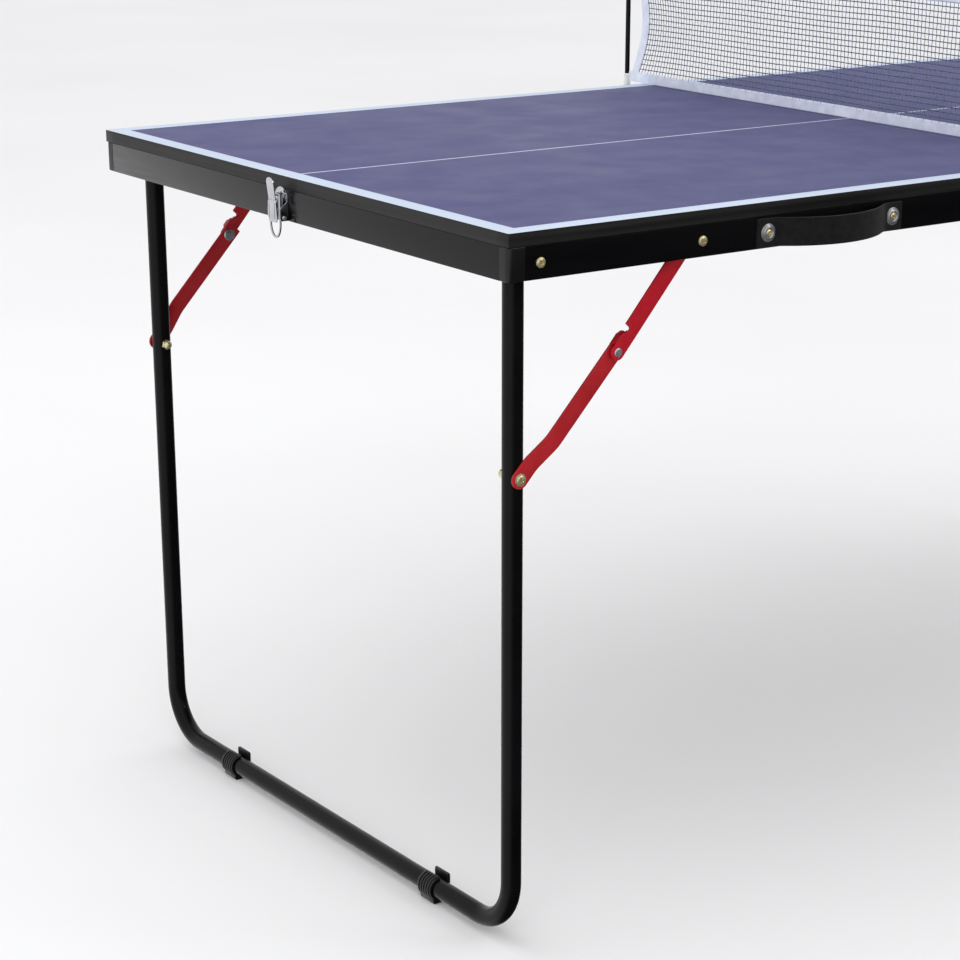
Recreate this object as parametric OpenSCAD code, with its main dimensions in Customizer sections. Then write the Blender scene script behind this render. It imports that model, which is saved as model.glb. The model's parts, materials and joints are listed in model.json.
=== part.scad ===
// Folding mid-size table tennis table: two framed half tops joined at the middle,
// a U-shaped leg frame under each end with folding braces, and a lift-off net.
// Millimetres, +Z up. The origin is on the floor under the middle of the top.
// +X runs along the length, +Y across the width. The end at -X carries the latch.

/* [Playing top] */
// Length of the open top
top_l = 1500; // [1400:10:1600]
// Width of the top
top_w = 760; // [740:5:800]
// Height of the playing surface above the floor
top_h = 716; // [700:1:760]
// Thickness of each half panel
panel_t = 13; // [9:0.5:16]
// Gap between the two half panels
panel_gap = 1.4; // [1.3:0.1:2]

/* [Rail frame] */
// Height of the rails under each panel
rail_h = 31; // [29:1:36]
// Thickness of the rails
rail_t = 14; // [12:0.5:14]
// Length of a corner block along the long side
corner_l = 18; // [16:1:22]
// Radius on the upright edge of a corner block
corner_r = 6; // [3:0.5:9]
// Distance that the rails stop short of the middle
rail_setback = 3; // [3:0.1:4]

/* [Leg frames] */
// Outer diameter of the leg tube
tube_d = 20; // [18:0.5:20]
// Wall thickness of the leg tube
tube_wall = 1.2; // [0.8:0.1:2]
// Distance of the leg tube's axis from the end of the top
leg_inset = 35; // [33:0.5:38]
// Distance of each upright's axis from the middle of the width
leg_half_gauge = 338; // [328:1:338]
// Radius of the bends, on the tube's axis
bend_r = 55; // [40:1:80]
// Height of the cross bar's axis above the floor
bar_h = 16; // [14:0.5:18]
// Distance of each foot clip from the middle of the width
foot_y = 202; // [120:1:240]
// Length of a foot clip along the bar
foot_l = 24; // [18:1:32]

/* [Folding braces] */
// Distance from the leg pivot to the brace pivot on the rail
rail_pivot_reach = 186; // [184:0.5:188]
// Distance from the leg pivot down to the brace pivot on the leg
leg_pivot_reach = 206; // [205.5:0.1:206]
// Length of the upper arm between its pivots
upper_arm_l = 128.8; // [128.8:0.1:130]
// Angle that the upper arm hangs below the rail's line when folded
folded_droop = 1; // [1:0.5:3]
// Width of the upper arm
upper_arm_w = 15.5; // [14:0.5:16]
// Width of the lower arm
lower_arm_w = 18; // [16:0.5:19]
// Thickness of both arms
arm_t = 2.5; // [2:0.1:2.6]

/* [Middle joint] */
// Distance of each link pivot from the middle
link_half_l = 14; // [14:0.5:16]
// Height of the link pivots above the bottom of the rails
link_pivot_h = 12; // [10:0.5:12]
// Thickness of the link plates
link_t = 3; // [2:0.5:4]

/* [Net] */
// Height of the net above the playing surface
net_h = 155; // [145:0.5:160]
// Distance of each post from the middle of the width
post_y = 407; // [405:1:420]
// Diameter of the posts
post_d = 6; // [5:0.5:6]
// Height of the tapes along the top and bottom of the net
tape_h = 12.5; // [10:0.5:16]
// Width of the hems at the sides of the net
hem_w = 13; // [10:0.5:16]
// Distance that each side of the net curves in from its post
hem_bow = 24; // [10:1:30]
// Clearance under the net
net_lift_gap = 1.5; // [1.2:0.1:3]

/* [Carry handle] */
// Distance of the first handle screw from the end of the top
handle_start = 299; // [280:1:320]
// Distance between the two handle screws
handle_span = 161; // [140:1:180]
// Height of the strap
strap_w = 28; // [24:1:29]
// Thickness of the strap
strap_t = 2.5; // [1.5:0.5:3]
// Distance that the strap bows out from the rail
strap_bow = 27; // [20:1:30]

/* [Draw latch] */
// Width of the latch's base
latch_w = 24; // [22:1:30]
// Reach of the wire loop below the bottom of the rail
loop_reach = 17.5; // [17:0.5:19]
// Distance of the latch from the middle of the width
latch_y = 4.5; // [0:0.5:10]
// Diameter of the loop's wire
loop_wire_d = 2.4; // [2:0.1:2.6]

/* [Hidden] */
$fn = 48;

// Running clearance on a radius, and the gap kept between pieces that move past each other
fit = 0.06;
gap = 0.4;
bolt_r = 3;
head_r = 5;
head_h = 2.6;

// Heights and sides of the rail frame
panel_z = top_h - panel_t;
rail_z = panel_z - rail_h;
end_x = -top_l / 2;
side_y = top_w / 2;
rail_in_y = side_y - rail_t;

// Leg pivot and the closed brace loop, in the left half's side view
tube_r = tube_d / 2;
leg_x = end_x + leg_inset;
pivot_z = rail_z + 15;
tube_top = pivot_z + 11;
rail_pivot = [leg_x + rail_pivot_reach, pivot_z];
leg_pivot = [leg_x, pivot_z - leg_pivot_reach];
fold_offset = leg_pivot_reach - rail_pivot_reach;
lower_arm_l = sqrt(pow(upper_arm_l, 2) + pow(fold_offset, 2)
    + 2 * upper_arm_l * fold_offset * cos(folded_droop));
brace_span = norm(rail_pivot - leg_pivot);
brace_dir = (leg_pivot - rail_pivot) / brace_span;
knee_along = (pow(upper_arm_l, 2) + pow(brace_span, 2) - pow(lower_arm_l, 2)) / (2 * brace_span);
knee_across = sqrt(max(0, pow(upper_arm_l, 2) - pow(knee_along, 2)));
knee = rail_pivot + knee_along * brace_dir + knee_across * [-brace_dir[1], brace_dir[0]];
upper_angle = atan2(rail_pivot[1] - knee[1], rail_pivot[0] - knee[0]);
lower_angle = atan2(knee[1] - leg_pivot[1], knee[0] - leg_pivot[0]);

// Distances of the brace layers from the middle of the width, from the tube outwards
foot_in = leg_half_gauge + tube_r + gap;
lower_in = foot_in + 8;
upper_in = lower_in + arm_t + 2.2;
rivet_r = 4.4;
tail_r = 6.7;
rivet_h = 1.8;

// Middle joint
link_z = rail_z + link_pivot_h;
link_in = side_y + gap;
link_out = link_in + link_t;

// Net
net_z = top_h + net_lift_gap;
net_top = top_h + net_h;
post_r = post_d / 2;
net_t = 1.2;
tape_t = 2;
sleeve_r = post_r + 1.2;
net_edge = post_y - sleeve_r - 0.2;

// Handle, measured from the left end
strap_x0 = end_x + handle_start - 13;
strap_x1 = end_x + handle_start + handle_span + 13;
strap_flat = 24;
strap_mid_z = rail_z + rail_h / 2 - 0.5;

// Latch, on the middle of the left end face
lever_pivot = [end_x - 5, rail_z + 3.5];
latch_pin_r = 1.5;
loop_pivot = [end_x - 8, rail_z + 26];
loop_half_w = 9.2;

// Repeats its children on the far side of the table
module both_sides() {
    children();
    mirror([0, 1, 0]) children();
}

// Makes the right half's copy of a left half piece
module on_right() {
    mirror([1, 0, 0]) children();
}

// A rod along Y on the near side, between two distances from the middle
module near_rod(r, y_in, y_out) {
    translate([0, -y_in, 0]) rotate([90, 0, 0]) cylinder(h = y_out - y_in, r = r);
}

// A plate on the near side, whose 2D outline lies in the side view
module near_plate(y_in, thick) {
    translate([0, -y_in, 0]) rotate([90, 0, 0]) linear_extrude(height = thick) children();
}

// A domed bolt head that points outwards on the near side
module near_dome(r, h, y_in) {
    translate([0, -y_in, 0]) rotate([90, 0, 0])
        rotate_extrude() intersection() {
            ball_r = (r * r + h * h) / (2 * h);
            translate([0, h - ball_r]) circle(r = ball_r);
            square([r, h]);
        }
}

// A hexagon nut on the near side
module near_nut(y_in, thick) {
    near_plate(y_in, thick) difference() {
        circle(r = 5.6, $fn = 6);
        circle(r = bolt_r + fit);
    }
}

// ---- Half top ----

module left_panel() {
    color("slateblue")
        translate([end_x, -side_y, panel_z])
            cube([top_l / 2 - panel_gap / 2, top_w, panel_t]);
}

// A long rail with its three pivot holes
module long_rail() {
    color([0.06, 0.06, 0.07]) difference() {
        translate([end_x + corner_l, -side_y, rail_z])
            cube([top_l / 2 - corner_l - rail_setback, rail_t, rail_h]);
        for (p = [[leg_x, pivot_z], rail_pivot, [-link_half_l, link_z]])
            translate([p[0], 0, p[1]]) near_rod(bolt_r + fit, rail_in_y - 1, side_y + 1);
    }
}

module left_near_rail() {
    long_rail();
}

module left_far_rail() {
    mirror([0, 1, 0]) long_rail();
}

module left_end_rail() {
    color([0.2, 0.2, 0.22])
        translate([end_x, -rail_in_y, rail_z]) cube([rail_t, 2 * rail_in_y, rail_h]);
}

module left_inner_rail() {
    color([0.06, 0.06, 0.07])
        translate([-rail_setback - rail_t, -rail_in_y, rail_z])
            cube([rail_t, 2 * rail_in_y, rail_h]);
}

// Corner block with a rounded upright edge and a gusset inside the frame
module corner_block() {
    color([0.05, 0.05, 0.05]) translate([0, 0, rail_z]) linear_extrude(height = rail_h) {
        difference() {
            translate([end_x, -side_y]) square([corner_l, rail_t]);
            difference() {
                translate([end_x, -side_y]) square(corner_r);
                translate([end_x + corner_r, -side_y + corner_r]) circle(r = corner_r);
            }
        }
        polygon([
            [end_x + rail_t, -rail_in_y], [end_x + rail_t + 9, -rail_in_y],
            [end_x + rail_t, -rail_in_y + 14]
        ]);
    }
}

module left_corner_blocks() {
    both_sides() corner_block();
}

// ---- Leg pivots, fixed in the long rails ----

module left_leg_pivot_bolts() {
    color("goldenrod") both_sides() translate([leg_x, 0, pivot_z]) {
        near_rod(bolt_r, leg_half_gauge - tube_r - 6, side_y);
        near_dome(head_r, head_h, side_y);
    }
}

module left_leg_pivot_nuts() {
    color("goldenrod") both_sides() translate([leg_x, 0, pivot_z])
        near_nut(leg_half_gauge - tube_r - gap - 5, 5);
}

module left_leg_pivot_bushes() {
    color("dimgray") both_sides() translate([leg_x, 0, pivot_z])
        near_plate(foot_in, rail_in_y - foot_in) difference() {
            circle(r = 6);
            circle(r = bolt_r + fit);
        }
}

// ---- Leg frame ----

// Outside or inside of the bent tube
module bent_tube(r, top) {
    upright_y = leg_half_gauge;
    both_sides() {
        translate([leg_x, upright_y, bar_h + bend_r])
            cylinder(h = top - bar_h - bend_r, r = r);
        translate([leg_x, upright_y - bend_r, bar_h + bend_r]) rotate([0, 90, 0])
            rotate_extrude(angle = 90) translate([bend_r, 0]) circle(r = r);
    }
    translate([leg_x, upright_y - bend_r, bar_h]) rotate([90, 0, 0])
        cylinder(h = 2 * (upright_y - bend_r), r = r);
}

module left_leg_frame() {
    color([0.04, 0.04, 0.045]) difference() {
        bent_tube(tube_r, tube_top);
        bent_tube(tube_r - tube_wall, tube_top + 1);
        for (z = [pivot_z, leg_pivot[1]])
            both_sides() translate([leg_x, 0, z])
                near_rod(bolt_r + fit, leg_half_gauge - tube_r - 2, leg_half_gauge + tube_r + 2);
    }
}

// Clip-on foot: a split ring round the bar, a pad under it and a lip on the inner side
module foot_clip() {
    ring_r = tube_r + 2.6;
    translate([leg_x, -foot_y + foot_l / 2, bar_h]) rotate([90, 0, 0])
        linear_extrude(height = foot_l) difference() {
            union() {
                circle(r = ring_r);
                translate([-8, -bar_h]) square([17, bar_h]);
                translate([tube_r - 0.5, 0]) square([3.5, 14]);
            }
            circle(r = tube_r + 0.05);
            polygon([[0, 0], [1, 20], [tube_r - 0.5, 20], [tube_r - 0.5, 5]]);
        }
}

module left_foot_clips() {
    color([0.05, 0.05, 0.05]) {
        foot_clip();
        translate([0, 2 * foot_y, 0]) foot_clip();
    }
}

module left_brace_leg_bolts() {
    nut_in = leg_half_gauge - tube_r - 4.5;
    color("goldenrod") both_sides() translate([leg_pivot[0], 0, leg_pivot[1]]) {
        near_rod(bolt_r, nut_in, foot_in + arm_t + gap);
        near_dome(head_r, head_h, foot_in + arm_t + gap);
    }
}

// Cap nuts, domed on the inner side
module left_brace_leg_nuts() {
    nut_in = leg_half_gauge - tube_r - 4.5;
    cap_r = 4.6;
    color("goldenrod") both_sides() translate([leg_pivot[0], 0, leg_pivot[1]]) {
        near_nut(nut_in, 4.5);
        mirror([0, 1, 0]) near_dome(cap_r, cap_r, -nut_in);
    }
}

// ---- Folding braces ----

// Upper arm, from the knee at its origin to the rail pivot along +X in the side view.
// Past a shoulder it is wider on one edge, and a small notch lies below the shoulder.
module upper_arm_outline() {
    half_w = upper_arm_w / 2;
    shoulder = 25.3;
    extra_w = 2.2;
    notch_v = half_w - 2.8;
    difference() {
        union() {
            circle(r = half_w);
            translate([0, -half_w]) square([upper_arm_l, upper_arm_w]);
            translate([shoulder, 0]) square([upper_arm_l - shoulder, half_w + extra_w]);
            translate([upper_arm_l, 0]) circle(r = half_w);
        }
        translate([shoulder - 6, notch_v]) square([6, half_w]);
        translate([shoulder - 4, notch_v]) circle(r = 2);
        circle(r = bolt_r - 0.8);
        translate([upper_arm_l, 0]) circle(r = bolt_r + fit);
    }
}

module left_upper_arms() {
    color("crimson") both_sides()
        translate([knee[0], 0, knee[1]]) rotate([0, -upper_angle, 0])
            near_plate(upper_in, arm_t) upper_arm_outline();
}

// The rivet's outer head and the collar that spaces the two arms, fixed to the upper arm
module left_knee_rivets() {
    color("silver") both_sides() translate([knee[0], 0, knee[1]]) {
        near_dome(rivet_r, rivet_h, upper_in + arm_t);
        near_rod(bolt_r - 0.8, upper_in, upper_in + arm_t);
        near_rod(rivet_r, upper_in - 2.2 + gap, upper_in);
    }
}

// The rivet's inner head, fixed to the lower arm
module left_knee_rivet_tails() {
    color("silver") both_sides() translate([knee[0], 0, knee[1]]) {
        near_rod(tail_r, lower_in - rivet_h, lower_in);
        near_rod(bolt_r - 0.8, lower_in, lower_in + arm_t);
    }
}

// Lower arm, from the leg pivot at its origin to the knee along +X in the side view:
// a foot against the tube, a slope outwards, the long arm beside the upper arm,
// and a narrow tab along the edge past its square end
module lower_arm() {
    half_w = lower_arm_w / 2;
    foot_end = 18;
    slope_end = 45;
    plate_end = 11.5;
    tab_end = 20.5;
    tab_w = 6;
    near_plate(foot_in, arm_t) difference() {
        union() {
            circle(r = half_w);
            translate([0, -half_w]) square([foot_end, lower_arm_w]);
        }
        circle(r = bolt_r + fit);
    }
    linear_extrude(height = lower_arm_w, center = true) polygon([
        [foot_end, -foot_in], [foot_end, -foot_in - arm_t],
        [slope_end, -lower_in - arm_t], [slope_end, -lower_in]
    ]);
    near_plate(lower_in, arm_t) difference() {
        union() {
            translate([slope_end, -half_w]) square([lower_arm_l - slope_end, lower_arm_w]);
            translate([lower_arm_l, -half_w]) square([plate_end, lower_arm_w]);
            translate([lower_arm_l, half_w - tab_w]) square([tab_end - tab_w, tab_w]);
            intersection() {
                translate([lower_arm_l + tab_end - tab_w, half_w - tab_w]) circle(r = tab_w);
                translate([lower_arm_l, half_w - tab_w]) square([tab_end, tab_w]);
            }
        }
        translate([lower_arm_l, 0]) circle(r = bolt_r - 0.8);
    }
}

module left_lower_arms() {
    color("firebrick") both_sides()
        translate([leg_pivot[0], 0, leg_pivot[1]]) rotate([0, -lower_angle, 0]) lower_arm();
}

// Bolt through the rail and the upper arm, with a low inner head
module left_brace_rail_bolts() {
    color("goldenrod") both_sides() translate([rail_pivot[0], 0, rail_pivot[1]]) {
        near_rod(bolt_r, upper_in - gap, side_y);
        near_dome(head_r, head_h, side_y);
        near_rod(head_r, upper_in - gap - 1.2, upper_in - gap);
    }
}

module left_brace_rail_washers() {
    color("silver") both_sides() translate([rail_pivot[0], 0, rail_pivot[1]])
        near_plate(upper_in + arm_t + gap, rail_in_y - upper_in - arm_t - gap) difference() {
            circle(r = 6);
            circle(r = bolt_r + fit);
        }
}

// ---- Middle joint ----

module left_joint_pins() {
    color("dimgray") both_sides() translate([-link_half_l, 0, link_z]) {
        near_rod(bolt_r, rail_in_y, link_out + gap);
        near_dome(head_r, 2, link_out + gap);
    }
}

// Link plates between the two halves, which also carry the net's brackets
module joint_links() {
    color("dimgray") both_sides() translate([0, 0, link_z])
        near_plate(link_in, link_t) difference() {
            union() {
                for (s = [-1, 1]) translate([s * link_half_l, 0]) circle(r = 8);
                translate([-link_half_l, -8]) square([2 * link_half_l, 16]);
            }
            for (s = [-1, 1]) translate([s * link_half_l, 0]) circle(r = bolt_r + fit);
        }
}

// ---- Carry handle ----

// Plan of the strap: two ends on the rail and an arc between them
module handle_strap() {
    arc_half = (strap_x1 - strap_x0) / 2 - strap_flat;
    arc_r = (arc_half * arc_half + strap_bow * strap_bow) / (2 * strap_bow);
    mid_x = (strap_x0 + strap_x1) / 2;
    arc_y = -side_y - strap_bow + arc_r;
    color([0.07, 0.07, 0.08]) translate([0, 0, strap_mid_z - strap_w / 2])
        difference() {
            linear_extrude(height = strap_w) {
                intersection() {
                    difference() {
                        translate([mid_x, arc_y]) circle(r = arc_r, $fn = 180);
                        translate([mid_x, arc_y]) circle(r = arc_r - strap_t, $fn = 180);
                    }
                    translate([mid_x - arc_r, -side_y - strap_bow - 1])
                        square([2 * arc_r, strap_bow + 1]);
                }
                for (x = [strap_x0, strap_x1 - strap_flat - 3])
                    translate([x, -side_y - strap_t]) square([strap_flat + 3, strap_t]);
            }
            for (x = [0, handle_span])
                translate([end_x + handle_start + x, 0, strap_w / 2])
                    near_rod(2.1, side_y - 1, side_y + strap_t + 1);
        }
}

// Cup washers that hold the strap's ends
module handle_washers() {
    color("gray") for (x = [0, handle_span])
        translate([end_x + handle_start + x, -side_y - strap_t, strap_mid_z]) rotate([90, 0, 0])
            rotate_extrude() polygon([[2.1, 0], [8.6, 0], [8.6, 0.8], [6.4, 2.2], [2.1, 2.2]]);
}

module handle_screws() {
    color("goldenrod") for (x = [0, handle_span])
        translate([end_x + handle_start + x, 0, strap_mid_z]) {
            near_rod(2, side_y, side_y + strap_t + 2.2);
            near_dome(3.8, 2, side_y + strap_t + 2.2);
        }
}

// ---- Draw latch ----

// A plate between two distances from the middle of the width, outlined in the side view
module latch_cheek(y_from, y_to) {
    translate([0, y_to, 0]) rotate([90, 0, 0]) linear_extrude(height = y_to - y_from) children();
}

// Back plate with an arched top, and two cheeks that hold the lever's pin
module latch_base() {
    half_w = latch_w / 2;
    base_z = rail_z + 0.5;
    arch_z = rail_z + rail_h + 2 - half_w;
    plate_t = 1.2;
    face_x = end_x - plate_t;
    color("silver") translate([0, latch_y, 0]) {
        translate([face_x, 0, 0]) rotate([90, 0, 90]) linear_extrude(height = plate_t) {
            translate([-half_w, base_z]) square([latch_w, arch_z - base_z]);
            translate([0, arch_z]) circle(r = half_w);
        }
        for (y = [-half_w, half_w - 1]) difference() {
            latch_cheek(y, y + 1) polygon([
                [face_x, base_z], [face_x - 6.5, base_z], [face_x - 8.5, base_z + 2],
                [face_x - 8.5, base_z + 12], [face_x, base_z + 19]
            ]);
            translate([lever_pivot[0], 0, lever_pivot[1]])
                latch_cheek(-latch_w, latch_w) circle(r = latch_pin_r + 0.02);
        }
    }
}

// Pin through the two cheeks of the base
module latch_pin() {
    color("silver") translate([lever_pivot[0], latch_y, lever_pivot[1]])
        latch_cheek(-latch_w / 2 - 0.6, latch_w / 2 + 0.6) circle(r = latch_pin_r);
}

module latch_screws() {
    color("silver") for (y = [-6.5, 6.5])
        translate([end_x - 1.2, latch_y + y, rail_z + 26]) rotate([0, -90, 0]) cylinder(h = 0.8, r = 1.8);
}

// Lever: a barrel on the pin, a wide plate with two cheeks, and a narrow tongue that tips outwards
module latch_lever() {
    plate_half = 7.9;
    color("gainsboro") translate([0, latch_y, 0]) {
        difference() {
            union() {
                for (y = [-plate_half, plate_half - 1.2]) latch_cheek(y, y + 1.2) {
                    translate(lever_pivot) circle(r = 3.2);
                    polygon([
                        lever_pivot + [0, -3.2], lever_pivot + [-6.6, 0],
                        [end_x - 11.6, rail_z + 19], [end_x - 9.8, rail_z + 19],
                        loop_pivot + [2.5, 2], lever_pivot + [3.2, 0]
                    ]);
                }
                latch_cheek(-plate_half, plate_half) polygon([
                    [end_x - 10.2, rail_z - 1], [end_x - 11.6, rail_z - 1],
                    [end_x - 12.1, rail_z + 20], [end_x - 10.7, rail_z + 20]
                ]);
                latch_cheek(-6.5, 6.5) polygon([
                    [end_x - 12.1, rail_z + 20], [end_x - 10.7, rail_z + 20],
                    [end_x - 13.8, rail_z + 43], [end_x - 15.2, rail_z + 43]
                ]);
            }
            translate([lever_pivot[0], 0, lever_pivot[1]])
                latch_cheek(-20, 20) circle(r = latch_pin_r + fit);
            translate([loop_pivot[0], 0, loop_pivot[1]])
                latch_cheek(-20, 20) circle(r = loop_wire_d / 2 + fit);
        }
    }
}

// Wire loop: a cross piece through the lever, two sides and a rounded end
module latch_loop() {
    wire_r = loop_wire_d / 2;
    side_top = loop_pivot[1];
    side_end = rail_z - loop_reach + loop_half_w + wire_r;
    color("whitesmoke") translate([0, latch_y, 0]) {
        translate([loop_pivot[0], loop_half_w, side_top]) rotate([90, 0, 0])
            cylinder(h = 2 * loop_half_w, r = wire_r);
        for (y = [-loop_half_w, loop_half_w]) {
            translate([loop_pivot[0], y, side_top]) sphere(r = wire_r);
            translate([loop_pivot[0], y, side_end]) cylinder(h = side_top - side_end, r = wire_r);
        }
        translate([loop_pivot[0], 0, side_end]) rotate([0, 90, 0]) rotate([0, 0, -90])
            rotate_extrude(angle = 180) translate([loop_half_w, 0]) circle(r = wire_r);
    }
}

// Hook plate on the other end, for the loop
module latch_keeper() {
    half_w = latch_w / 2;
    color("silver") translate([-end_x, latch_y, rail_z]) {
        translate([0, -half_w, 7]) cube([1.2, latch_w, 16]);
        translate([0, -6, 9.5]) cube([6, 12, 1.5]);
        translate([4.5, -6, 11]) cube([1.5, 12, 4]);
    }
}

module keeper_screws() {
    color("silver") for (y = [-9, 9])
        translate([-end_x + 1.2, latch_y + y, rail_z + 17]) rotate([0, 90, 0]) cylinder(h = 0.9, r = 2);
}

// ---- Net ----

// Bracket welded to a link plate, with a socket that holds a post
module net_bracket() {
    arm_half = 5;
    socket_bottom = link_z - 2;
    difference() {
        union() {
            translate([-arm_half, -post_y, socket_bottom])
                cube([2 * arm_half, post_y - link_out, 10]);
            translate([0, -post_y, socket_bottom]) cylinder(h = 28, r = 6);
        }
        translate([0, -post_y, socket_bottom + 2]) cylinder(h = 40, r = post_r + fit);
    }
}

module net_brackets() {
    color([0.06, 0.06, 0.07]) both_sides() net_bracket();
}

module net_posts() {
    post_z = rail_z + 12.5;
    color([0.05, 0.05, 0.05]) both_sides() translate([0, -post_y, post_z])
        cylinder(h = net_top + 3 - post_z, r = post_r);
}

// White sleeves on the posts at the bottom corners of the net
module post_sleeves() {
    color("white") both_sides() translate([0, -post_y, rail_z + 14 + 24.5])
        difference() {
            cylinder(h = net_z + 9 - rail_z - 38.5, r = sleeve_r);
            translate([0, 0, -1]) cylinder(h = 60, r = post_r);
        }
}

// Distance that the side of the net stands in from the post at a share of its height
function side_bow(u) = hem_bow * sin(180 * u);

// Half outline of one side, from the bottom up, moved in by a distance
function side_points(inset, y_sign) = [
    for (i = [0:12])
        let (u = i / 12)
        [y_sign * (net_edge - inset - side_bow(u)), net_z + u * (net_top - net_z)]
];

// A standing sheet across the table, outlined in the end view
module net_sheet(thick) {
    translate([-thick / 2, 0, 0]) rotate([90, 0, 90]) linear_extrude(height = thick) children();
}

function reversed(list) = [for (i = [len(list) - 1:-1:0]) list[i]];

module net_mesh() {
    color([0.2, 0.22, 0.3]) net_sheet(net_t) intersection() {
        polygon(concat(side_points(hem_w, -1), reversed(side_points(hem_w, 1))));
        translate([-top_w, net_z + tape_h]) square([2 * top_w, net_top - net_z - 2 * tape_h]);
    }
}

module net_side_hems() {
    color("white") net_sheet(net_t) intersection() {
        for (s = [-1, 1])
            polygon(concat(side_points(0, s), reversed(side_points(hem_w, s))));
        translate([-top_w, net_z + tape_h]) square([2 * top_w, net_top - net_z - 2 * tape_h]);
    }
}

module net_top_tape() {
    color("white") net_sheet(tape_t)
        translate([-net_edge, net_top - tape_h]) square([2 * net_edge, tape_h]);
}

module net_bottom_tape() {
    color("white") net_sheet(net_t) translate([-net_edge, net_z]) square([2 * net_edge, tape_h]);
}

// ---- Right half, a mirror image of the left ----

module right_panel() {
    on_right() left_panel();
}
module right_near_rail() {
    on_right() left_near_rail();
}
module right_far_rail() {
    on_right() left_far_rail();
}
module right_end_rail() {
    on_right() left_end_rail();
}
module right_inner_rail() {
    on_right() left_inner_rail();
}
module right_corner_blocks() {
    on_right() left_corner_blocks();
}
module right_leg_pivot_bolts() {
    on_right() left_leg_pivot_bolts();
}
module right_leg_pivot_nuts() {
    on_right() left_leg_pivot_nuts();
}
module right_leg_pivot_bushes() {
    on_right() left_leg_pivot_bushes();
}
module right_brace_rail_bolts() {
    on_right() left_brace_rail_bolts();
}
module right_brace_rail_washers() {
    on_right() left_brace_rail_washers();
}
module right_leg_frame() {
    on_right() left_leg_frame();
}
module right_foot_clips() {
    on_right() left_foot_clips();
}
module right_brace_leg_bolts() {
    on_right() left_brace_leg_bolts();
}
module right_brace_leg_nuts() {
    on_right() left_brace_leg_nuts();
}
module right_upper_arms() {
    on_right() left_upper_arms();
}
module right_knee_rivets() {
    on_right() left_knee_rivets();
}
module right_lower_arms() {
    on_right() left_lower_arms();
}
module right_knee_rivet_tails() {
    on_right() left_knee_rivet_tails();
}
module right_joint_pins() {
    on_right() left_joint_pins();
}

left_panel();
left_near_rail();
left_far_rail();
left_end_rail();
left_inner_rail();
left_corner_blocks();
left_leg_pivot_bolts();
left_leg_pivot_nuts();
left_leg_pivot_bushes();
left_brace_rail_bolts();
left_brace_rail_washers();
left_leg_frame();
left_foot_clips();
left_brace_leg_bolts();
left_brace_leg_nuts();
left_upper_arms();
left_knee_rivets();
left_lower_arms();
left_knee_rivet_tails();
left_joint_pins();
right_panel();
right_near_rail();
right_far_rail();
right_end_rail();
right_inner_rail();
right_corner_blocks();
right_leg_pivot_bolts();
right_leg_pivot_nuts();
right_leg_pivot_bushes();
right_brace_rail_bolts();
right_brace_rail_washers();
right_leg_frame();
right_foot_clips();
right_brace_leg_bolts();
right_brace_leg_nuts();
right_upper_arms();
right_knee_rivets();
right_lower_arms();
right_knee_rivet_tails();
right_joint_pins();
joint_links();
handle_strap();
handle_washers();
handle_screws();
latch_base();
latch_pin();
latch_screws();
latch_lever();
latch_loop();
latch_keeper();
keeper_screws();
net_brackets();
net_posts();
post_sleeves();
net_mesh();
net_top_tape();
net_bottom_tape();
net_side_hems();
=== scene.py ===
"""Looks of a folding mid-size table tennis table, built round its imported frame.

Shapes are worked out in millimetres, in the row frame, and scaled to metres when
each piece is made. Left-half shapes are mirrored for the right half.
"""

import json
import math

import bmesh
import bpy
import numpy as np
from mathutils import Euler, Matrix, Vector


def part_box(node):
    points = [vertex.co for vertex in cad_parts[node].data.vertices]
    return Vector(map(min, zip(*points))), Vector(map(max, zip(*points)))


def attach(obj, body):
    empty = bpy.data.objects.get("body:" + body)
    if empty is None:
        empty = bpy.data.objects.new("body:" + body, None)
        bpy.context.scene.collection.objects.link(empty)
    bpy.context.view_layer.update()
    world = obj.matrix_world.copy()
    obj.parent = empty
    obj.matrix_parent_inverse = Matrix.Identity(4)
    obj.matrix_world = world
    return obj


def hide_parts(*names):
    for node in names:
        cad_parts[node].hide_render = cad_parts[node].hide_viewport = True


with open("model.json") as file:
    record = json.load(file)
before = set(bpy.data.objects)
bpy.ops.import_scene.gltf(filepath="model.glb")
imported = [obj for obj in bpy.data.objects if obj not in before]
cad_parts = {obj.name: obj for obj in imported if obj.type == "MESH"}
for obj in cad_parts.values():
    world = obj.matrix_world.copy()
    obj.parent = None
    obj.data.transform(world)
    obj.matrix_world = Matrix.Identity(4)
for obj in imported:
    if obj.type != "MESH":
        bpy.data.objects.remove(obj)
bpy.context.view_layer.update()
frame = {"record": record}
MM = 0.001


# ---- Measures read from the frame, in millimetres ----


def box(node):
    """Lowest and highest corner of a CAD node, in millimetres."""
    low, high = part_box(node)
    return np.array(low) / MM, np.array(high) / MM


def pivot(joint):
    """A hinge joint's place in the side view, (x, z) in millimetres."""
    found = [j for j in frame["record"]["behaviour"]["joints"] if j["name"] == joint]
    x, _, z = found[0]["pos_m"]
    return x / MM, z / MM


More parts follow.
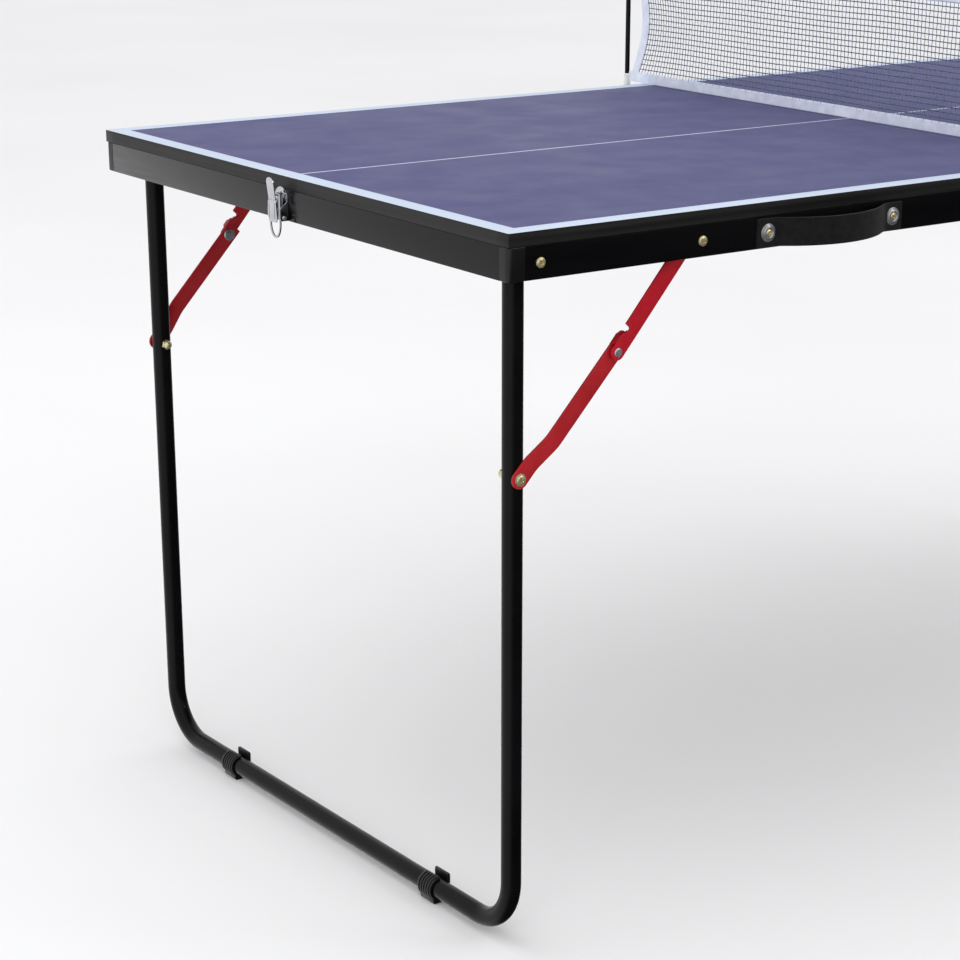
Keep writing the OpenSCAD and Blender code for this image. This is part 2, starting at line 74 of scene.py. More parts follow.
PANEL_LO, PANEL_HI = box("left_panel")
RAIL_LO, RAIL_HI = box("left_near_rail")
TUBE_LO, TUBE_HI = box("left_leg_frame")
END_X = PANEL_LO[0]
SIDE_Y = PANEL_HI[1]
RAIL_IN = -RAIL_HI[1]
RAIL_T = SIDE_Y - RAIL_IN
LEG_X, PIVOT_Z = pivot("left_leg_fold")
TUBE_R = (TUBE_HI[0] - TUBE_LO[0]) / 2
GAUGE = TUBE_HI[1] - TUBE_R
BAR_Z = TUBE_LO[2] + TUBE_R
BEND_R = 55
RAIL_PIVOT = pivot("left_upper_brace")
LEG_PIVOT = pivot("left_lower_brace")
TAIL_LO, TAIL_HI = box("left_knee_rivet_tails")
KNEE = ((TAIL_LO[0] + TAIL_HI[0]) / 2, (TAIL_LO[2] + TAIL_HI[2]) / 2)
ARM_T = 2.5
GAP = 0.4
UPPER_OUT = box("left_upper_arms")[1][1]
UPPER_IN = UPPER_OUT - ARM_T
LOWER_OUT = box("left_lower_arms")[1][1]
LOWER_IN = LOWER_OUT - ARM_T
FOOT_IN = GAUGE + TUBE_R + GAP
POST_LO, POST_HI = box("net_posts")
POST_R = (POST_HI[0] - POST_LO[0]) / 2
POST_Y = POST_HI[1] - POST_R
BASE_LO, BASE_HI = box("latch_base")
LATCH_Y = (BASE_LO[1] + BASE_HI[1]) / 2


# ---- Shapes ----


class Shape:
    """Points in millimetres, faces, and a material number for each face."""

    def __init__(self):
        self.points, self.faces, self.slots = [], [], []

    def add(self, points, faces, slot=0):
        base = len(self.points)
        self.points += [tuple(float(c) for c in p) for p in points]
        self.faces += [tuple(base + i for i in f) for f in faces]
        self.slots += [slot] * len(faces)
        return self

    def join(self, *others):
        for other in others:
            base = len(self.points)
            self.points += other.points
            self.faces += [tuple(base + i for i in f) for f in other.faces]
            self.slots += other.slots
        return self

    def placed(self, place):
        """A copy whose points have gone through place(x, y, z)."""
        copy = Shape()
        copy.points = [place(*p) for p in self.points]
        copy.faces, copy.slots = list(self.faces), list(self.slots)
        return copy

    def mirrored(self, axis):
        """A mirror copy across the plane through the origin square to that axis."""
        sign = [-1 if i == axis else 1 for i in range(3)]
        copy = self.placed(lambda *p: tuple(s * c for s, c in zip(sign, p)))
        copy.faces = [f[::-1] for f in copy.faces]
        return copy


def on_both_sides(shape):
    """The shape and its copy on the far side."""
    return Shape().join(shape, shape.mirrored(1))


def near(u, v, w):
    """Side view to the near side: u along X, v up, w outwards from the middle."""
    return (u, -w, v)


def near_at(centre, degrees=0):
    """The near side's side view, turned and moved to a centre (x, z)."""
    c, s = math.cos(math.radians(degrees)), math.sin(math.radians(degrees))
    return lambda u, v, w: near(centre[0] + u * c - v * s, centre[1] + u * s + v * c, w)


def end_on(u, v, w):
    """End view to the left end, about the latch: u towards the near side, v up, w outwards."""
    return (-w, LATCH_Y - u, v)


def sideways(w, v, u):
    """Turns an outline drawn as (outwards, up) for end_on, with its thickness along the width."""
    return (u, v, w)


def shift(dx, dy, dz):
    """A place function that moves a shape."""
    return lambda x, y, z: (x + dx, y + dy, z + dz)


def stack(rings, slot=0, caps=True, closed=False):
    """Skin over rings with the same number of points."""
    n = len(rings[0])
    pairs = list(zip(range(len(rings)), range(1, len(rings))))
    if closed:
        pairs.append((len(rings) - 1, 0))
    faces = [
        (a * n + i, a * n + (i + 1) % n, b * n + (i + 1) % n, b * n + i)
        for a, b in pairs
        for i in range(n)
    ]
    if caps and not closed:
        faces += [tuple(range(n))[::-1], tuple((len(rings) - 1) * n + i for i in range(n))]
    return Shape().add([p for ring in rings for p in ring], faces, slot)


def lathe(profile, steps=48, slot=0):
    """Turned shape about w from (radius, w) pairs. A zero radius makes a closed point."""
    rings = []
    for r, w in profile:
        r = max(r, 0.02)
        rings.append([
            (r * math.cos(2 * math.pi * i / steps), r * math.sin(2 * math.pi * i / steps), w)
            for i in range(steps)
        ])
    return stack(rings, slot)


RING_STEPS = 40


def ring(r_in, r_out, w0, w1, edge=0.4):
    """Flat ring with softened edges."""
    return stack([
        [(r * math.cos(2 * math.pi * i / RING_STEPS), r * math.sin(2 * math.pi * i / RING_STEPS), w)
         for i in range(RING_STEPS)]
        for r, w in ((r_in, w0), (r_out - edge, w0), (r_out, w0 + edge), (r_out, w1 - edge),
                     (r_out - edge, w1), (r_in, w1))
    ], closed=True)


def inset(outline, distance):
    """The outline moved inwards. It runs anticlockwise."""
    moved = []
    for i, p in enumerate(outline):
        before, after = outline[i - 1], outline[(i + 1) % len(outline)]
        normals = []
        for a, b in ((before, p), (p, after)):
            dx, dy = b[0] - a[0], b[1] - a[1]
            length = math.hypot(dx, dy) or 1
            normals.append((dy / length, -dx / length))
        (ax, ay), (bx, by) = normals
        share = distance / max(0.3, 1 + ax * bx + ay * by)
        moved.append((p[0] - share * (ax + bx), p[1] - share * (ay + by)))
    return moved


def plate(outline, w0, w1, bevel=0.4, steps=2, slot=0):
    """Flat plate with rounded edges, from w0 to w1."""
    rings = []
    for k in range(steps + 1):
        turn = math.pi / 2 * k / steps
        level = inset(outline, bevel * (1 - math.sin(turn)))
        rings.append([(u, v, w0 + bevel * (1 - math.cos(turn))) for u, v in level])
    rings += [[(u, v, w0 + w1 - w) for u, v, w in level] for level in rings[::-1]]
    return stack(rings, slot)


def arc(cx, cy, r, start, end, steps):
    """Points on an arc, in degrees."""
    return [
        (
            cx + r * math.cos(math.radians(start + (end - start) * i / steps)),
            cy + r * math.sin(math.radians(start + (end - start) * i / steps)),
        )
        for i in range(steps + 1)
    ]


def tube(path, radius, sides=12, normal=(0, 0, 1), slot=0, closed=False):
    """Round bar along a path that lies in, or close to, the plane square to normal."""
    path = np.array(path, float)
    if closed:
        tangents = np.roll(path, -1, 0) - np.roll(path, 1, 0)
    else:
        tangents = np.gradient(path, axis=0)
    tangents /= np.linalg.norm(tangents, axis=1)[:, None]
    across = np.cross(normal, tangents)
    across /= np.linalg.norm(across, axis=1)[:, None]
    up = np.cross(tangents, across)
    turns = 2 * np.pi * np.arange(sides) / sides
    rings = [
        [p + radius * (math.cos(t) * a + math.sin(t) * b) for t in turns]
        for p, a, b in zip(path, across, up)
    ]
    return stack(rings, slot, closed=closed)


def strip(stations, edge=0.55):
    """Flat bar lofted along u from (u, v0, v1, w0, w1) stations, with softened edges."""
    rings = []
    for u, v0, v1, w0, w1 in stations:
        e = min(edge, (v1 - v0) * 0.3)
        f = 0.4 * e
        rings.append([
            (u, v0 + e, w0), (u, v1 - e, w0), (u, v1 - f, w0 + f), (u, v1, w0 + e),
            (u, v1, w1 - e), (u, v1 - f, w1 - f), (u, v1 - e, w1), (u, v0 + e, w1),
            (u, v0 + f, w1 - f), (u, v0, w1 - e), (u, v0, w0 + e), (u, v0 + f, w0 + f),
        ])
    return stack(rings)


def rounded_end(half):
    """(u, half width) pairs along a half disc that ends at u = 0, from its tip."""
    return [(-half * math.cos(math.radians(a)), half * math.sin(math.radians(a)))
            for a in range(4, 90, 6)]


def block(low, high, bevel=0.8, cuts=(), slot_of=None):
    """Box with rounded edges, cut along planes (axis, place); slot_of picks materials."""
    bm = bmesh.new()
    corners = [
        bm.verts.new((x, y, z))
        for x in (low[0], high[0])
        for y in (low[1], high[1])
        for z in (low[2], high[2])
    ]
    for quad in ((0, 1, 3, 2), (4, 6, 7, 5), (0, 4, 5, 1), (2, 3, 7, 6), (0, 2, 6, 4), (1, 5, 7, 3)):
        bm.faces.new([corners[i] for i in quad])
    bmesh.ops.bevel(
        bm, geom=list(bm.edges), offset=bevel, segments=2, profile=0.5, affect="EDGES"
    )
    for axis, place in cuts:
        at, normal = [0, 0, 0], [0, 0, 0]
        at[axis], normal[axis] = place, 1
        bmesh.ops.bisect_plane(
            bm, geom=bm.verts[:] + bm.edges[:] + bm.faces[:], plane_co=at, plane_no=normal
        )
    bm.verts.index_update()
    bm.normal_update()
    made = Shape()
    made.points = [tuple(v.co) for v in bm.verts]
    for f in bm.faces:
        made.faces.append(tuple(v.index for v in f.verts))
        made.slots.append(slot_of(f.calc_center_median(), f.normal) if slot_of else 0)
    bm.free()
    return made


def cross_head(r, h, slot=0, rings=22, steps=64):
    """Domed screw head with a pressed cross, standing up from w = 0."""
    arm_half, arm_end, arm_slope, depth = 0.13 * r, 0.56 * r, 0.25 * r, 0.5 * h
    rim = 0.28 * h
    turn = math.pi / 5
    made = [[(r * math.cos(2 * math.pi * i / steps), r * math.sin(2 * math.pi * i / steps), 0)
             for i in range(steps)]]
    for k in range(rings):
        rho = r * (1 - k / rings) + 0.02 if k else 0.94 * r
        level = []
        for i in range(steps):
            a = 2 * math.pi * i / steps
            x, y = rho * math.cos(a), rho * math.sin(a)
            p, q = abs(rho * math.cos(a + turn)), abs(rho * math.sin(a + turn))
            w = rim + (h - rim) * (1 - (rho / r) ** 2.4)
            along, off = max(p, q), min(p, q)
            if off < arm_half and along < arm_end:
                w -= depth * min(1, (arm_end - along) / arm_slope)
            level.append((x, y, w))
        made.append(level)
    return stack(made, slot)


# ---- Materials ----


def node_tree(name):
    """A new material with its node tree and its shader."""
    material = bpy.data.materials.new(name)
    material.use_nodes = True
    tree = material.node_tree
    shader = tree.nodes["Principled BSDF"]
    return material, tree, shader


def set_socket(shader, **values):
    """Sets shader inputs from names such as specular_ior_level."""
    for name, value in values.items():
        socket = name.replace("_", " ").title()
        socket = socket.replace("Ior", "IOR")
        shader.inputs[socket].default_value = value


def noise(tree, source, scale, detail=3.0):
    """Noise over a place, from 0 to 1."""
    made = tree.nodes.new("ShaderNodeTexNoise")
    made.inputs["Scale"].default_value = scale
    made.inputs["Detail"].default_value = detail
    tree.links.new(source, made.inputs["Vector"])
    return made.outputs["Fac"]


def ramp(tree, source, dark, light, low=0.35, high=0.65):
    """Colour between dark and light."""
    made = tree.nodes.new("ShaderNodeValToRGB")
    first, last = made.color_ramp.elements
    first.position, first.color = low, (*dark, 1)
    last.position, last.color = high, (*light, 1)
    tree.links.new(source, made.inputs["Fac"])
    return made.outputs["Color"]


def spread(tree, source, low, high):
    """Stretches the middle of a noise over low to high."""
    made = tree.nodes.new("ShaderNodeMapRange")
    made.inputs["From Min"].default_value = 0.3
    made.inputs["From Max"].default_value = 0.7
    made.inputs["To Min"].default_value = low
    made.inputs["To Max"].default_value = high
    tree.links.new(source, made.inputs["Value"])
    return made.outputs["Result"]


# A wave texture of scale 1 repeats every 20 / (2 pi) units
WAVE_UNIT = 2 * math.pi / 20


def bands(tree, source, axis, period):
    """Sine bands across an axis, period in metres."""
    made = tree.nodes.new("ShaderNodeTexWave")
    made.bands_direction = axis
    made.inputs["Scale"].default_value = WAVE_UNIT / period
    made.inputs["Distortion"].default_value = 0.4
    made.inputs["Detail"].default_value = 1.0
    tree.links.new(source, made.inputs["Vector"])
    return made.outputs["Fac"]


def surface(name, dark, light, rough, patch=6.0, grain=900.0, bump=0.15, depth=0.0001,
            stretch=(1, 1, 1), weave=None, **sockets):
    """Procedural material: patchy colour, uneven roughness, and a fine bump.

    weave is (axis, period, axis, period) for cloth.
    """
    material, tree, shader = node_tree(name)
    coords = tree.nodes.new("ShaderNodeTexCoord").outputs["Object"]
    mapping = tree.nodes.new("ShaderNodeMapping")
    mapping.inputs["Scale"].default_value = stretch
    tree.links.new(coords, mapping.inputs["Vector"])
    place = mapping.outputs["Vector"]
    colour = ramp(tree, noise(tree, place, patch, 5.0), dark, light)
    height = noise(tree, place, grain, 2.0)
    if weave:
        threads = tree.nodes.new("ShaderNodeMath")
        threads.operation = "MAXIMUM"
        tree.links.new(bands(tree, coords, weave[0], weave[1]), threads.inputs[0])
        tree.links.new(bands(tree, coords, weave[2], weave[3]), threads.inputs[1])
        mixed = tree.nodes.new("ShaderNodeMath")
        mixed.operation = "ADD"
        tree.links.new(threads.outputs[0], mixed.inputs[0])
        tree.links.new(height, mixed.inputs[1])
        height = mixed.outputs[0]
    tree.links.new(colour, shader.inputs["Base Color"])
    tree.links.new(
        spread(tree, noise(tree, place, patch * 7, 4.0), rough - 0.05, rough + 0.07),
        shader.inputs["Roughness"],
    )
    bumper = tree.nodes.new("ShaderNodeBump")
    bumper.inputs["Strength"].default_value = bump
    bumper.inputs["Distance"].default_value = depth
    tree.links.new(height, bumper.inputs["Height"])
    tree.links.new(bumper.outputs["Normal"], shader.inputs["Normal"])
    set_socket(shader, **sockets)
    return material


TOP_BLUE = surface(
    "top_blue", (0.056, 0.058, 0.178), (0.061, 0.063, 0.187), 0.5,
    patch=2.2, grain=1400, bump=0.12, specular_ior_level=0.2,
)
TOP_LINE = surface(
    "top_line", (0.52, 0.60, 0.73), (0.56, 0.64, 0.77), 0.5, patch=9, grain=1400,
    bump=0.12, specular_ior_level=0.35,
)
TOP_RIM = surface(
    "top_rim", (0.006, 0.006, 0.006), (0.018, 0.017, 0.016), 0.36, patch=3, grain=700,
    stretch=(0.6, 0.6, 45), bump=0.2, specular_ior_level=0.22,
)
TOP_UNDER = surface("top_under", (0.016, 0.015, 0.014), (0.028, 0.026, 0.024), 0.6, grain=600, bump=0.3)
RAIL_BLACK = surface(
    "rail_black", (0.0015, 0.0015, 0.002), (0.003, 0.003, 0.0035), 0.18, patch=3, grain=500,
    stretch=(1, 1, 12), bump=0.04, specular_ior_level=0.38,
)
MOULDED = surface(
    "moulded_black", (0.004, 0.004, 0.0045), (0.008, 0.008, 0.009), 0.34, grain=1800, bump=0.3,
    specular_ior_level=0.4,
)
ZINC = surface(
    "zinc_yellow", (0.66, 0.54, 0.26), (0.86, 0.80, 0.52), 0.24, patch=260, grain=2200,
    bump=0.15, metallic=0.8,
)
GREY_STEEL = surface(
    "grey_steel", (0.34, 0.34, 0.34), (0.50, 0.50, 0.50), 0.34, patch=180, grain=2400,
    bump=0.2, metallic=0.8,
)
BRIGHT_STEEL = surface(
    "bright_steel", (0.60, 0.60, 0.62), (0.82, 0.82, 0.84), 0.24, patch=160, grain=2400,
    bump=0.15, metallic=0.85,
)
TUBE_BLACK = surface(
    "tube_black", (0.0018, 0.0018, 0.002), (0.0035, 0.0035, 0.004), 0.26, patch=8, grain=420,
    bump=0.05, depth=0.0003, specular_ior_level=0.16,
)
RED_UPPER = surface(
    "red_upper", (0.34, 0.0008, 0.008), (0.41, 0.0012, 0.012), 0.34, patch=22, grain=420,
    bump=0.05, depth=0.0003, specular_ior_level=0.3, coat_weight=0.15, coat_roughness=0.1,
)
RED_LOWER = surface(
    "red_lower", (0.30, 0.005, 0.009), (0.36, 0.008, 0.014), 0.34, patch=22, grain=420,
    bump=0.05, depth=0.0003, specular_ior_level=0.3, coat_weight=0.15, coat_roughness=0.1,
)
CHROME = surface(
    "chrome_plate", (0.56, 0.57, 0.59), (0.70, 0.71, 0.73), 0.09, patch=60, grain=900,
    bump=0.03, metallic=1.0,
)
WEBBING = surface(
    "webbing_black", (0.002, 0.002, 0.0025), (0.005, 0.005, 0.006), 0.7, patch=160,
    grain=3000, bump=0.5, depth=0.0002, weave=("X", 0.0016, "Z", 0.0021),
    sheen_weight=0.06, sheen_roughness=0.5, specular_ior_level=0.25,
)
STRAND = surface(
    "net_strand", (0.045, 0.065, 0.105), (0.085, 0.115, 0.17), 0.62, patch=300, grain=4200,
    bump=0.5, depth=0.0001, sheen_weight=0.2,
)
STRAND_PALE = surface(
    "net_strand_pale", (0.11, 0.14, 0.20), (0.19, 0.23, 0.31), 0.62, patch=300, grain=4200,
    bump=0.5, depth=0.0001, sheen_weight=0.2,
)
TAPE = surface(
    "net_tape", (0.66, 0.71, 0.84), (0.80, 0.84, 0.95), 0.78, patch=70, grain=2600, bump=0.5,
    depth=0.00018, weave=("Y", 0.0011, "Z", 0.0011), sheen_weight=0.2,
)
STITCH = surface("net_stitch", (0.72, 0.76, 0.86), (0.84, 0.87, 0.95), 0.7, patch=400, grain=4000, bump=0.4)
WHITE_PLASTIC = surface("white_moulded", (0.74, 0.76, 0.80), (0.84, 0.85, 0.88), 0.32, patch=60)


# ---- Pieces ----


def piece(name, shape, body, materials, nodes=(), crease=38):
    """Makes an object from a shape, in metres, ties it to its body and hides the nodes it stands in for."""
    mesh = bpy.data.meshes.new(name)
    mesh.from_pydata([(x * MM, y * MM, z * MM) for x, y, z in shape.points], [], shape.faces)
    mesh.polygons.foreach_set("material_index", shape.slots)
    for material in materials if isinstance(materials, (list, tuple)) else [materials]:
        mesh.materials.append(material)
    bm = bmesh.new()
    bm.from_mesh(mesh)
    bmesh.ops.recalc_face_normals(bm, faces=bm.faces)
    bm.to_mesh(mesh)
    bm.free()
    mesh.polygons.foreach_set("use_smooth", [True] * len(mesh.polygons))
    mesh.set_sharp_from_angle(angle=math.radians(crease))
    obj = bpy.data.objects.new(name, mesh)
    bpy.context.scene.collection.objects.link(obj)
    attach(obj, body)
    if nodes:
        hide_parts(*nodes)
    return obj


def pair(name, shape, body, materials, node=None, crease=38):
    """The left half's piece and its mirror image on the right half."""
    for side, made in (("left", shape), ("right", shape.mirrored(0))):
        piece(
            f"{side}_{name}_look", made, f"{side}_{body}", materials,
            [f"{side}_{node or name}"], crease,
        )


# -- Half tops

LINE_W = 20
CENTRE_HALF = 1.5


def top_slot(centre, normal):
    """0 blue, 1 line, 2 rim, 3 underside."""
    if normal.z < -0.9:
        return 3
    if normal.z < 0.9:
        return 2
    on_edge = centre.x < END_X + LINE_W or abs(centre.y) > SIDE_Y - LINE_W
    return 1 if on_edge or abs(centre.y) < CENTRE_HALF else 0


line_cuts = [(0, END_X + LINE_W)]
line_cuts += [(1, s * y) for s in (-1, 1) for y in (SIDE_Y - LINE_W, CENTRE_HALF)]
pair(
    "panel", block(PANEL_LO, PANEL_HI, 0.7, line_cuts, top_slot), "half",
    [TOP_BLUE, TOP_LINE, TOP_RIM, TOP_UNDER],
)
pair("near_rail", block(RAIL_LO, RAIL_HI), "half", RAIL_BLACK)
pair("far_rail", block(RAIL_LO, RAIL_HI).mirrored(1), "half", RAIL_BLACK)
pair("end_rail", block(*box("left_end_rail")), "half", RAIL_BLACK)
pair("inner_rail", block(*box("left_inner_rail")), "half", RAIL_BLACK)

CORNER_R = 6
STEP_L, STEP_W = 5, 14
corner_outline = (
    [(RAIL_LO[0], -SIDE_Y), (RAIL_LO[0], -RAIL_IN), (RAIL_LO[0] + STEP_L, -RAIL_IN)]
    + [(END_X + RAIL_T, -RAIL_IN + STEP_W), (END_X + RAIL_T, -RAIL_IN), (END_X, -RAIL_IN)]
    + arc(END_X + CORNER_R, -SIDE_Y + CORNER_R, CORNER_R, 180, 270, 8)
)
corner = plate(corner_outline, RAIL_LO[2], RAIL_HI[2], 1.3, 3)
pair("corner_blocks", on_both_sides(corner), "half", MOULDED)


# -- Bolts, nuts and rivets

BOLT_R = 3
HEAD_R, HEAD_H = 5, 2.6
HEX_R = 5.6
BUSH_R = 6
FIT = 0.06
BOLT_TAIL = 6
NUT_T = 5
CAP_NUT_T = 4.5
FOOT_RING_R = 6.1


def shank(w0, w1, r=BOLT_R):
    """Plain round shank with a small chamfer at w0."""
    return lathe([(r - 0.3, w0), (r, w0 + 0.4), (r, w1)], 28)


def bolt(w_in, w_seat, collar=0):
    """Cross-headed bolt seated at w_seat, with an optional ring under its head."""
    made = shank(w_in, w_seat + 0.1).join(
        cross_head(HEAD_R, HEAD_H).placed(shift(0, 0, w_seat)),
    )
    if collar:
        hole = BOLT_R + 0.2
        made.join(lathe([(hole, w_seat - GAP), (collar, w_seat - GAP), (collar, w_seat + 0.2),
                         (collar - 0.5, w_seat + 0.5), (hole, w_seat + 0.5)], 40))
    return made


TUBE_IN = GAUGE - TUBE_R
leg_bolt = bolt(TUBE_IN - BOLT_TAIL, SIDE_Y).placed(near_at((LEG_X, PIVOT_Z)))
pair("leg_pivot_bolts", on_both_sides(leg_bolt), "half", ZINC)
inner_low, inner_high = UPPER_IN - 1.6, UPPER_IN - GAP
rail_bolt = bolt(inner_low, SIDE_Y).join(
    lathe([(0, inner_low), (HEAD_R - 0.6, inner_low), (HEAD_R, inner_low + 0.5),
           (HEAD_R, inner_high), (BOLT_R, inner_high)], 40)
).placed(near_at(RAIL_PIVOT))
pair("brace_rail_bolts", on_both_sides(rail_bolt), "half", ZINC)
foot_bolt = bolt(TUBE_IN - CAP_NUT_T, FOOT_IN + ARM_T + GAP, FOOT_RING_R).placed(near_at(LEG_PIVOT))
pair("brace_leg_bolts", on_both_sides(foot_bolt), "legs", ZINC)

hexagon = [(HEX_R * math.cos(math.radians(60 * i)), HEX_R * math.sin(math.radians(60 * i)))
           for i in range(6)]
plain_nut = plate(hexagon, TUBE_IN - GAP - NUT_T, TUBE_IN - GAP, 0.6)
plain_nut = plain_nut.placed(near_at((LEG_X, PIVOT_Z), 12))
pair("leg_pivot_nuts", on_both_sides(plain_nut), "half", ZINC)
CAP_R = 4.6
cap_dome = [(CAP_R * math.sin(math.radians(a)), TUBE_IN - CAP_NUT_T - CAP_R * math.cos(math.radians(a)))
            for a in range(0, 91, 10)]
cap_nut = plate(hexagon, TUBE_IN - CAP_NUT_T, TUBE_IN, 0.6).join(lathe(cap_dome, 36))
cap_nut = cap_nut.placed(near_at(LEG_PIVOT, 20))
pair("brace_leg_nuts", on_both_sides(cap_nut), "legs", ZINC)


bush = ring(BOLT_R + FIT, BUSH_R, FOOT_IN, RAIL_IN).placed(near_at((LEG_X, PIVOT_Z)))
pair("leg_pivot_bushes", on_both_sides(bush), "half", GREY_STEEL)
washer = ring(BOLT_R + FIT, BUSH_R, UPPER_OUT + GAP, RAIL_IN).placed(near_at(RAIL_PIVOT))
pair("brace_rail_washers", on_both_sides(washer), "half", GREY_STEEL)

RIVET_R, RIVET_H, TAIL_R = 4.4, 1.8, 6.7
SHANK_R, COLLAR_L, HEAD_RIM = 2.2, 1.8, 0.5
outer_head = [(RIVET_R, UPPER_OUT), (RIVET_R, UPPER_OUT + HEAD_RIM)]
for a in range(15, 91, 15):
    rise = (RIVET_H - HEAD_RIM) * math.sin(math.radians(a))
    outer_head.append((RIVET_R * math.cos(math.radians(a)), UPPER_OUT + HEAD_RIM + rise))
rivet = lathe(outer_head, 40).join(
    lathe([(RIVET_R, UPPER_IN - COLLAR_L), (RIVET_R, UPPER_IN)], 40),
    shank(UPPER_IN - COLLAR_L, UPPER_OUT, SHANK_R),
).placed(near_at(KNEE))
pair("knee_rivets", on_both_sides(rivet), "braces_upper", BRIGHT_STEEL)
tail = lathe([(TAIL_R - 1.2, LOWER_IN - RIVET_H), (TAIL_R - 0.3, LOWER_IN - RIVET_H + 0.5),
              (TAIL_R, LOWER_IN - 0.7), (TAIL_R, LOWER_IN), (SHANK_R, LOWER_IN),
              (SHANK_R, LOWER_OUT)], 44).placed(near_at(KNEE))
pair("knee_rivet_tails", on_both_sides(tail), "braces_lower", BRIGHT_STEEL)


# -- Leg frames

PLUG_H = 1.2
PATH_STEPS = 30
tube_end = TUBE_HI[2] - PLUG_H
bend_top = BAR_Z + BEND_R
tube_path = [(LEG_X, -GAUGE, tube_end - (tube_end - bend_top) * i / PATH_STEPS)
             for i in range(PATH_STEPS)]
tube_path += [(LEG_X, y, z) for y, z in arc(BEND_R - GAUGE, bend_top, BEND_R, 180, 270, 26)]
half_path = list(tube_path)
bar_ys = np.linspace(BEND_R - GAUGE, GAUGE - BEND_R, PATH_STEPS)[1:-1]
tube_path += [(LEG_X, y, BAR_Z) for y in bar_ys]
tube_path += [(x, -y, z) for x, y, z in half_path[::-1]]
leg_tube = tube(tube_path, TUBE_R, 48, (1, 0, 0))
plug = lathe([(TUBE_R - 0.1, TUBE_HI[2] - 1.5), (TUBE_R - 0.1, TUBE_HI[2] - 0.5),
              (TUBE_R - PLUG_H, TUBE_HI[2]), (0, TUBE_HI[2])], 40, slot=1)
leg_tube.join(on_both_sides(plug.placed(shift(LEG_X, -GAUGE, 0))))
pair("leg_frame", leg_tube, "legs", [TUBE_BLACK, MOULDED])

# Foot clip, about the cross bar: a ring open on one side, a pad below it and a thumb tab
FOOT_L = 24
CLIP_T = 2.6
RIB_N, RIB_PITCH, RIB_W = 5, 4.2, 2.4
RING_R = TUBE_R + CLIP_T
foot_end = box("left_foot_clips")[1][1]
foot_start = foot_end - FOOT_L
clip_outline = arc(0, 0, RING_R, 87, 228, 26)
clip_outline += [(-8.4, -BAR_Z + 2.2), (-6.6, -BAR_Z), (7.4, -BAR_Z), (9.2, -BAR_Z + 2.2)]
clip_outline += arc(0, 0, RING_R, -42, 0, 8)
clip_outline += [(13, 1), (13, 12.6), (12.2, 14), (10.4, 14), (9.5, 12.6)]
clip_outline += arc(0, 0, TUBE_R + 0.05, 19, -273, 60)
clip = plate(clip_outline, foot_start, foot_end, 0.9)
rib_outline = arc(0, 0, RING_R + 0.9, 98, 226, 30) + arc(0, 0, RING_R - 0.5, 226, 98, 30)
for k in range(RIB_N):
    w = foot_start + 2.2 + RIB_PITCH * k
    clip.join(plate(rib_outline, w, w + RIB_W, 0.5))
for w in (foot_start + 4, foot_end - 6):
    clip.join(block((12.6, 1.5, w), (13.4, 11, w + 2), 0.3))
clip = clip.placed(near_at((LEG_X, BAR_Z)))
pair("foot_clips", on_both_sides(clip), "legs", MOULDED)


# -- Folding braces

UPPER_ANGLE = math.degrees(math.atan2(RAIL_PIVOT[1] - KNEE[1], RAIL_PIVOT[0] - KNEE[0]))
LOWER_ANGLE = math.degrees(math.atan2(KNEE[1] - LEG_PIVOT[1], KNEE[0] - LEG_PIVOT[0]))
UPPER_L = math.dist(KNEE, RAIL_PIVOT)
LOWER_L = math.dist(KNEE, LEG_PIVOT)


# Upper arm: wider past its shoulder, with a notch below the shoulder
UPPER_HALF, WIDE_V = 7.75, 9.95
SHOULDER, NOTCH_START = 25.3, 19.3
NOTCH_V, NOTCH_R = 4.95, 2
upper_span = [(u, -v, v) for u, v in rounded_end(UPPER_HALF)]
upper_span += [(u, -UPPER_HALF, UPPER_HALF) for u in (0, 8, NOTCH_START - 3)]
upper_span += [(NOTCH_START, -UPPER_HALF, NOTCH_V)]
for k in range(13):
    along = (k / 6 - 1) * NOTCH_R
    dip = math.sqrt(max(0, NOTCH_R ** 2 - (along - 0.02) ** 2))
    upper_span.append((SHOULDER - NOTCH_R - 0.02 + along, -UPPER_HALF, NOTCH_V - dip))
upper_span += [(SHOULDER, -UPPER_HALF, WIDE_V - 0.5)]
upper_span += [(u, -UPPER_HALF, WIDE_V) for u in (SHOULDER + 0.5, 60, 95, UPPER_L - 8)]
upper_span += [(UPPER_L - 2, -UPPER_HALF, WIDE_V - 1.2)]
upper_span += [(UPPER_L - u, -v, v) for u, v in rounded_end(UPPER_HALF)[::-1]]
upper_arm = strip([(u, v0, v1, UPPER_IN, UPPER_OUT) for u, v0, v1 in upper_span])
upper_arm = upper_arm.placed(near_at(KNEE, UPPER_ANGLE))
pair("upper_arms", on_both_sides(upper_arm), "braces_upper", RED_UPPER)

# Lower arm: a foot, a slope outwards, a square end past the knee and a narrower tab
LOWER_HALF = 9
SLOPE_START, SLOPE_L = 18, 27
TAB_V, TAB_ROUND = 3, 8
PLATE_END, TAB_END = LOWER_L + 11.5, LOWER_L + 20.5


def lower_w(u):
    """Inner face of the lower arm: against the tube at its foot, then sloping outwards."""
    total = 0
    for k in range(-3, 4):
        share = min(1, max(0, (u + k * 1.3 - SLOPE_START) / SLOPE_L))
        total += FOOT_IN + share * (LOWER_IN - FOOT_IN)
    return total / 7


def tab_top(u):
    """Edge of the tab, rounded over towards its end."""
    share = min(1, max(0, (u - (TAB_END - TAB_ROUND)) / (TAB_ROUND + 0.2)))
    return TAB_V + 0.4 + (LOWER_HALF - TAB_V - 0.4) * math.sqrt(1 - share ** 2.4)


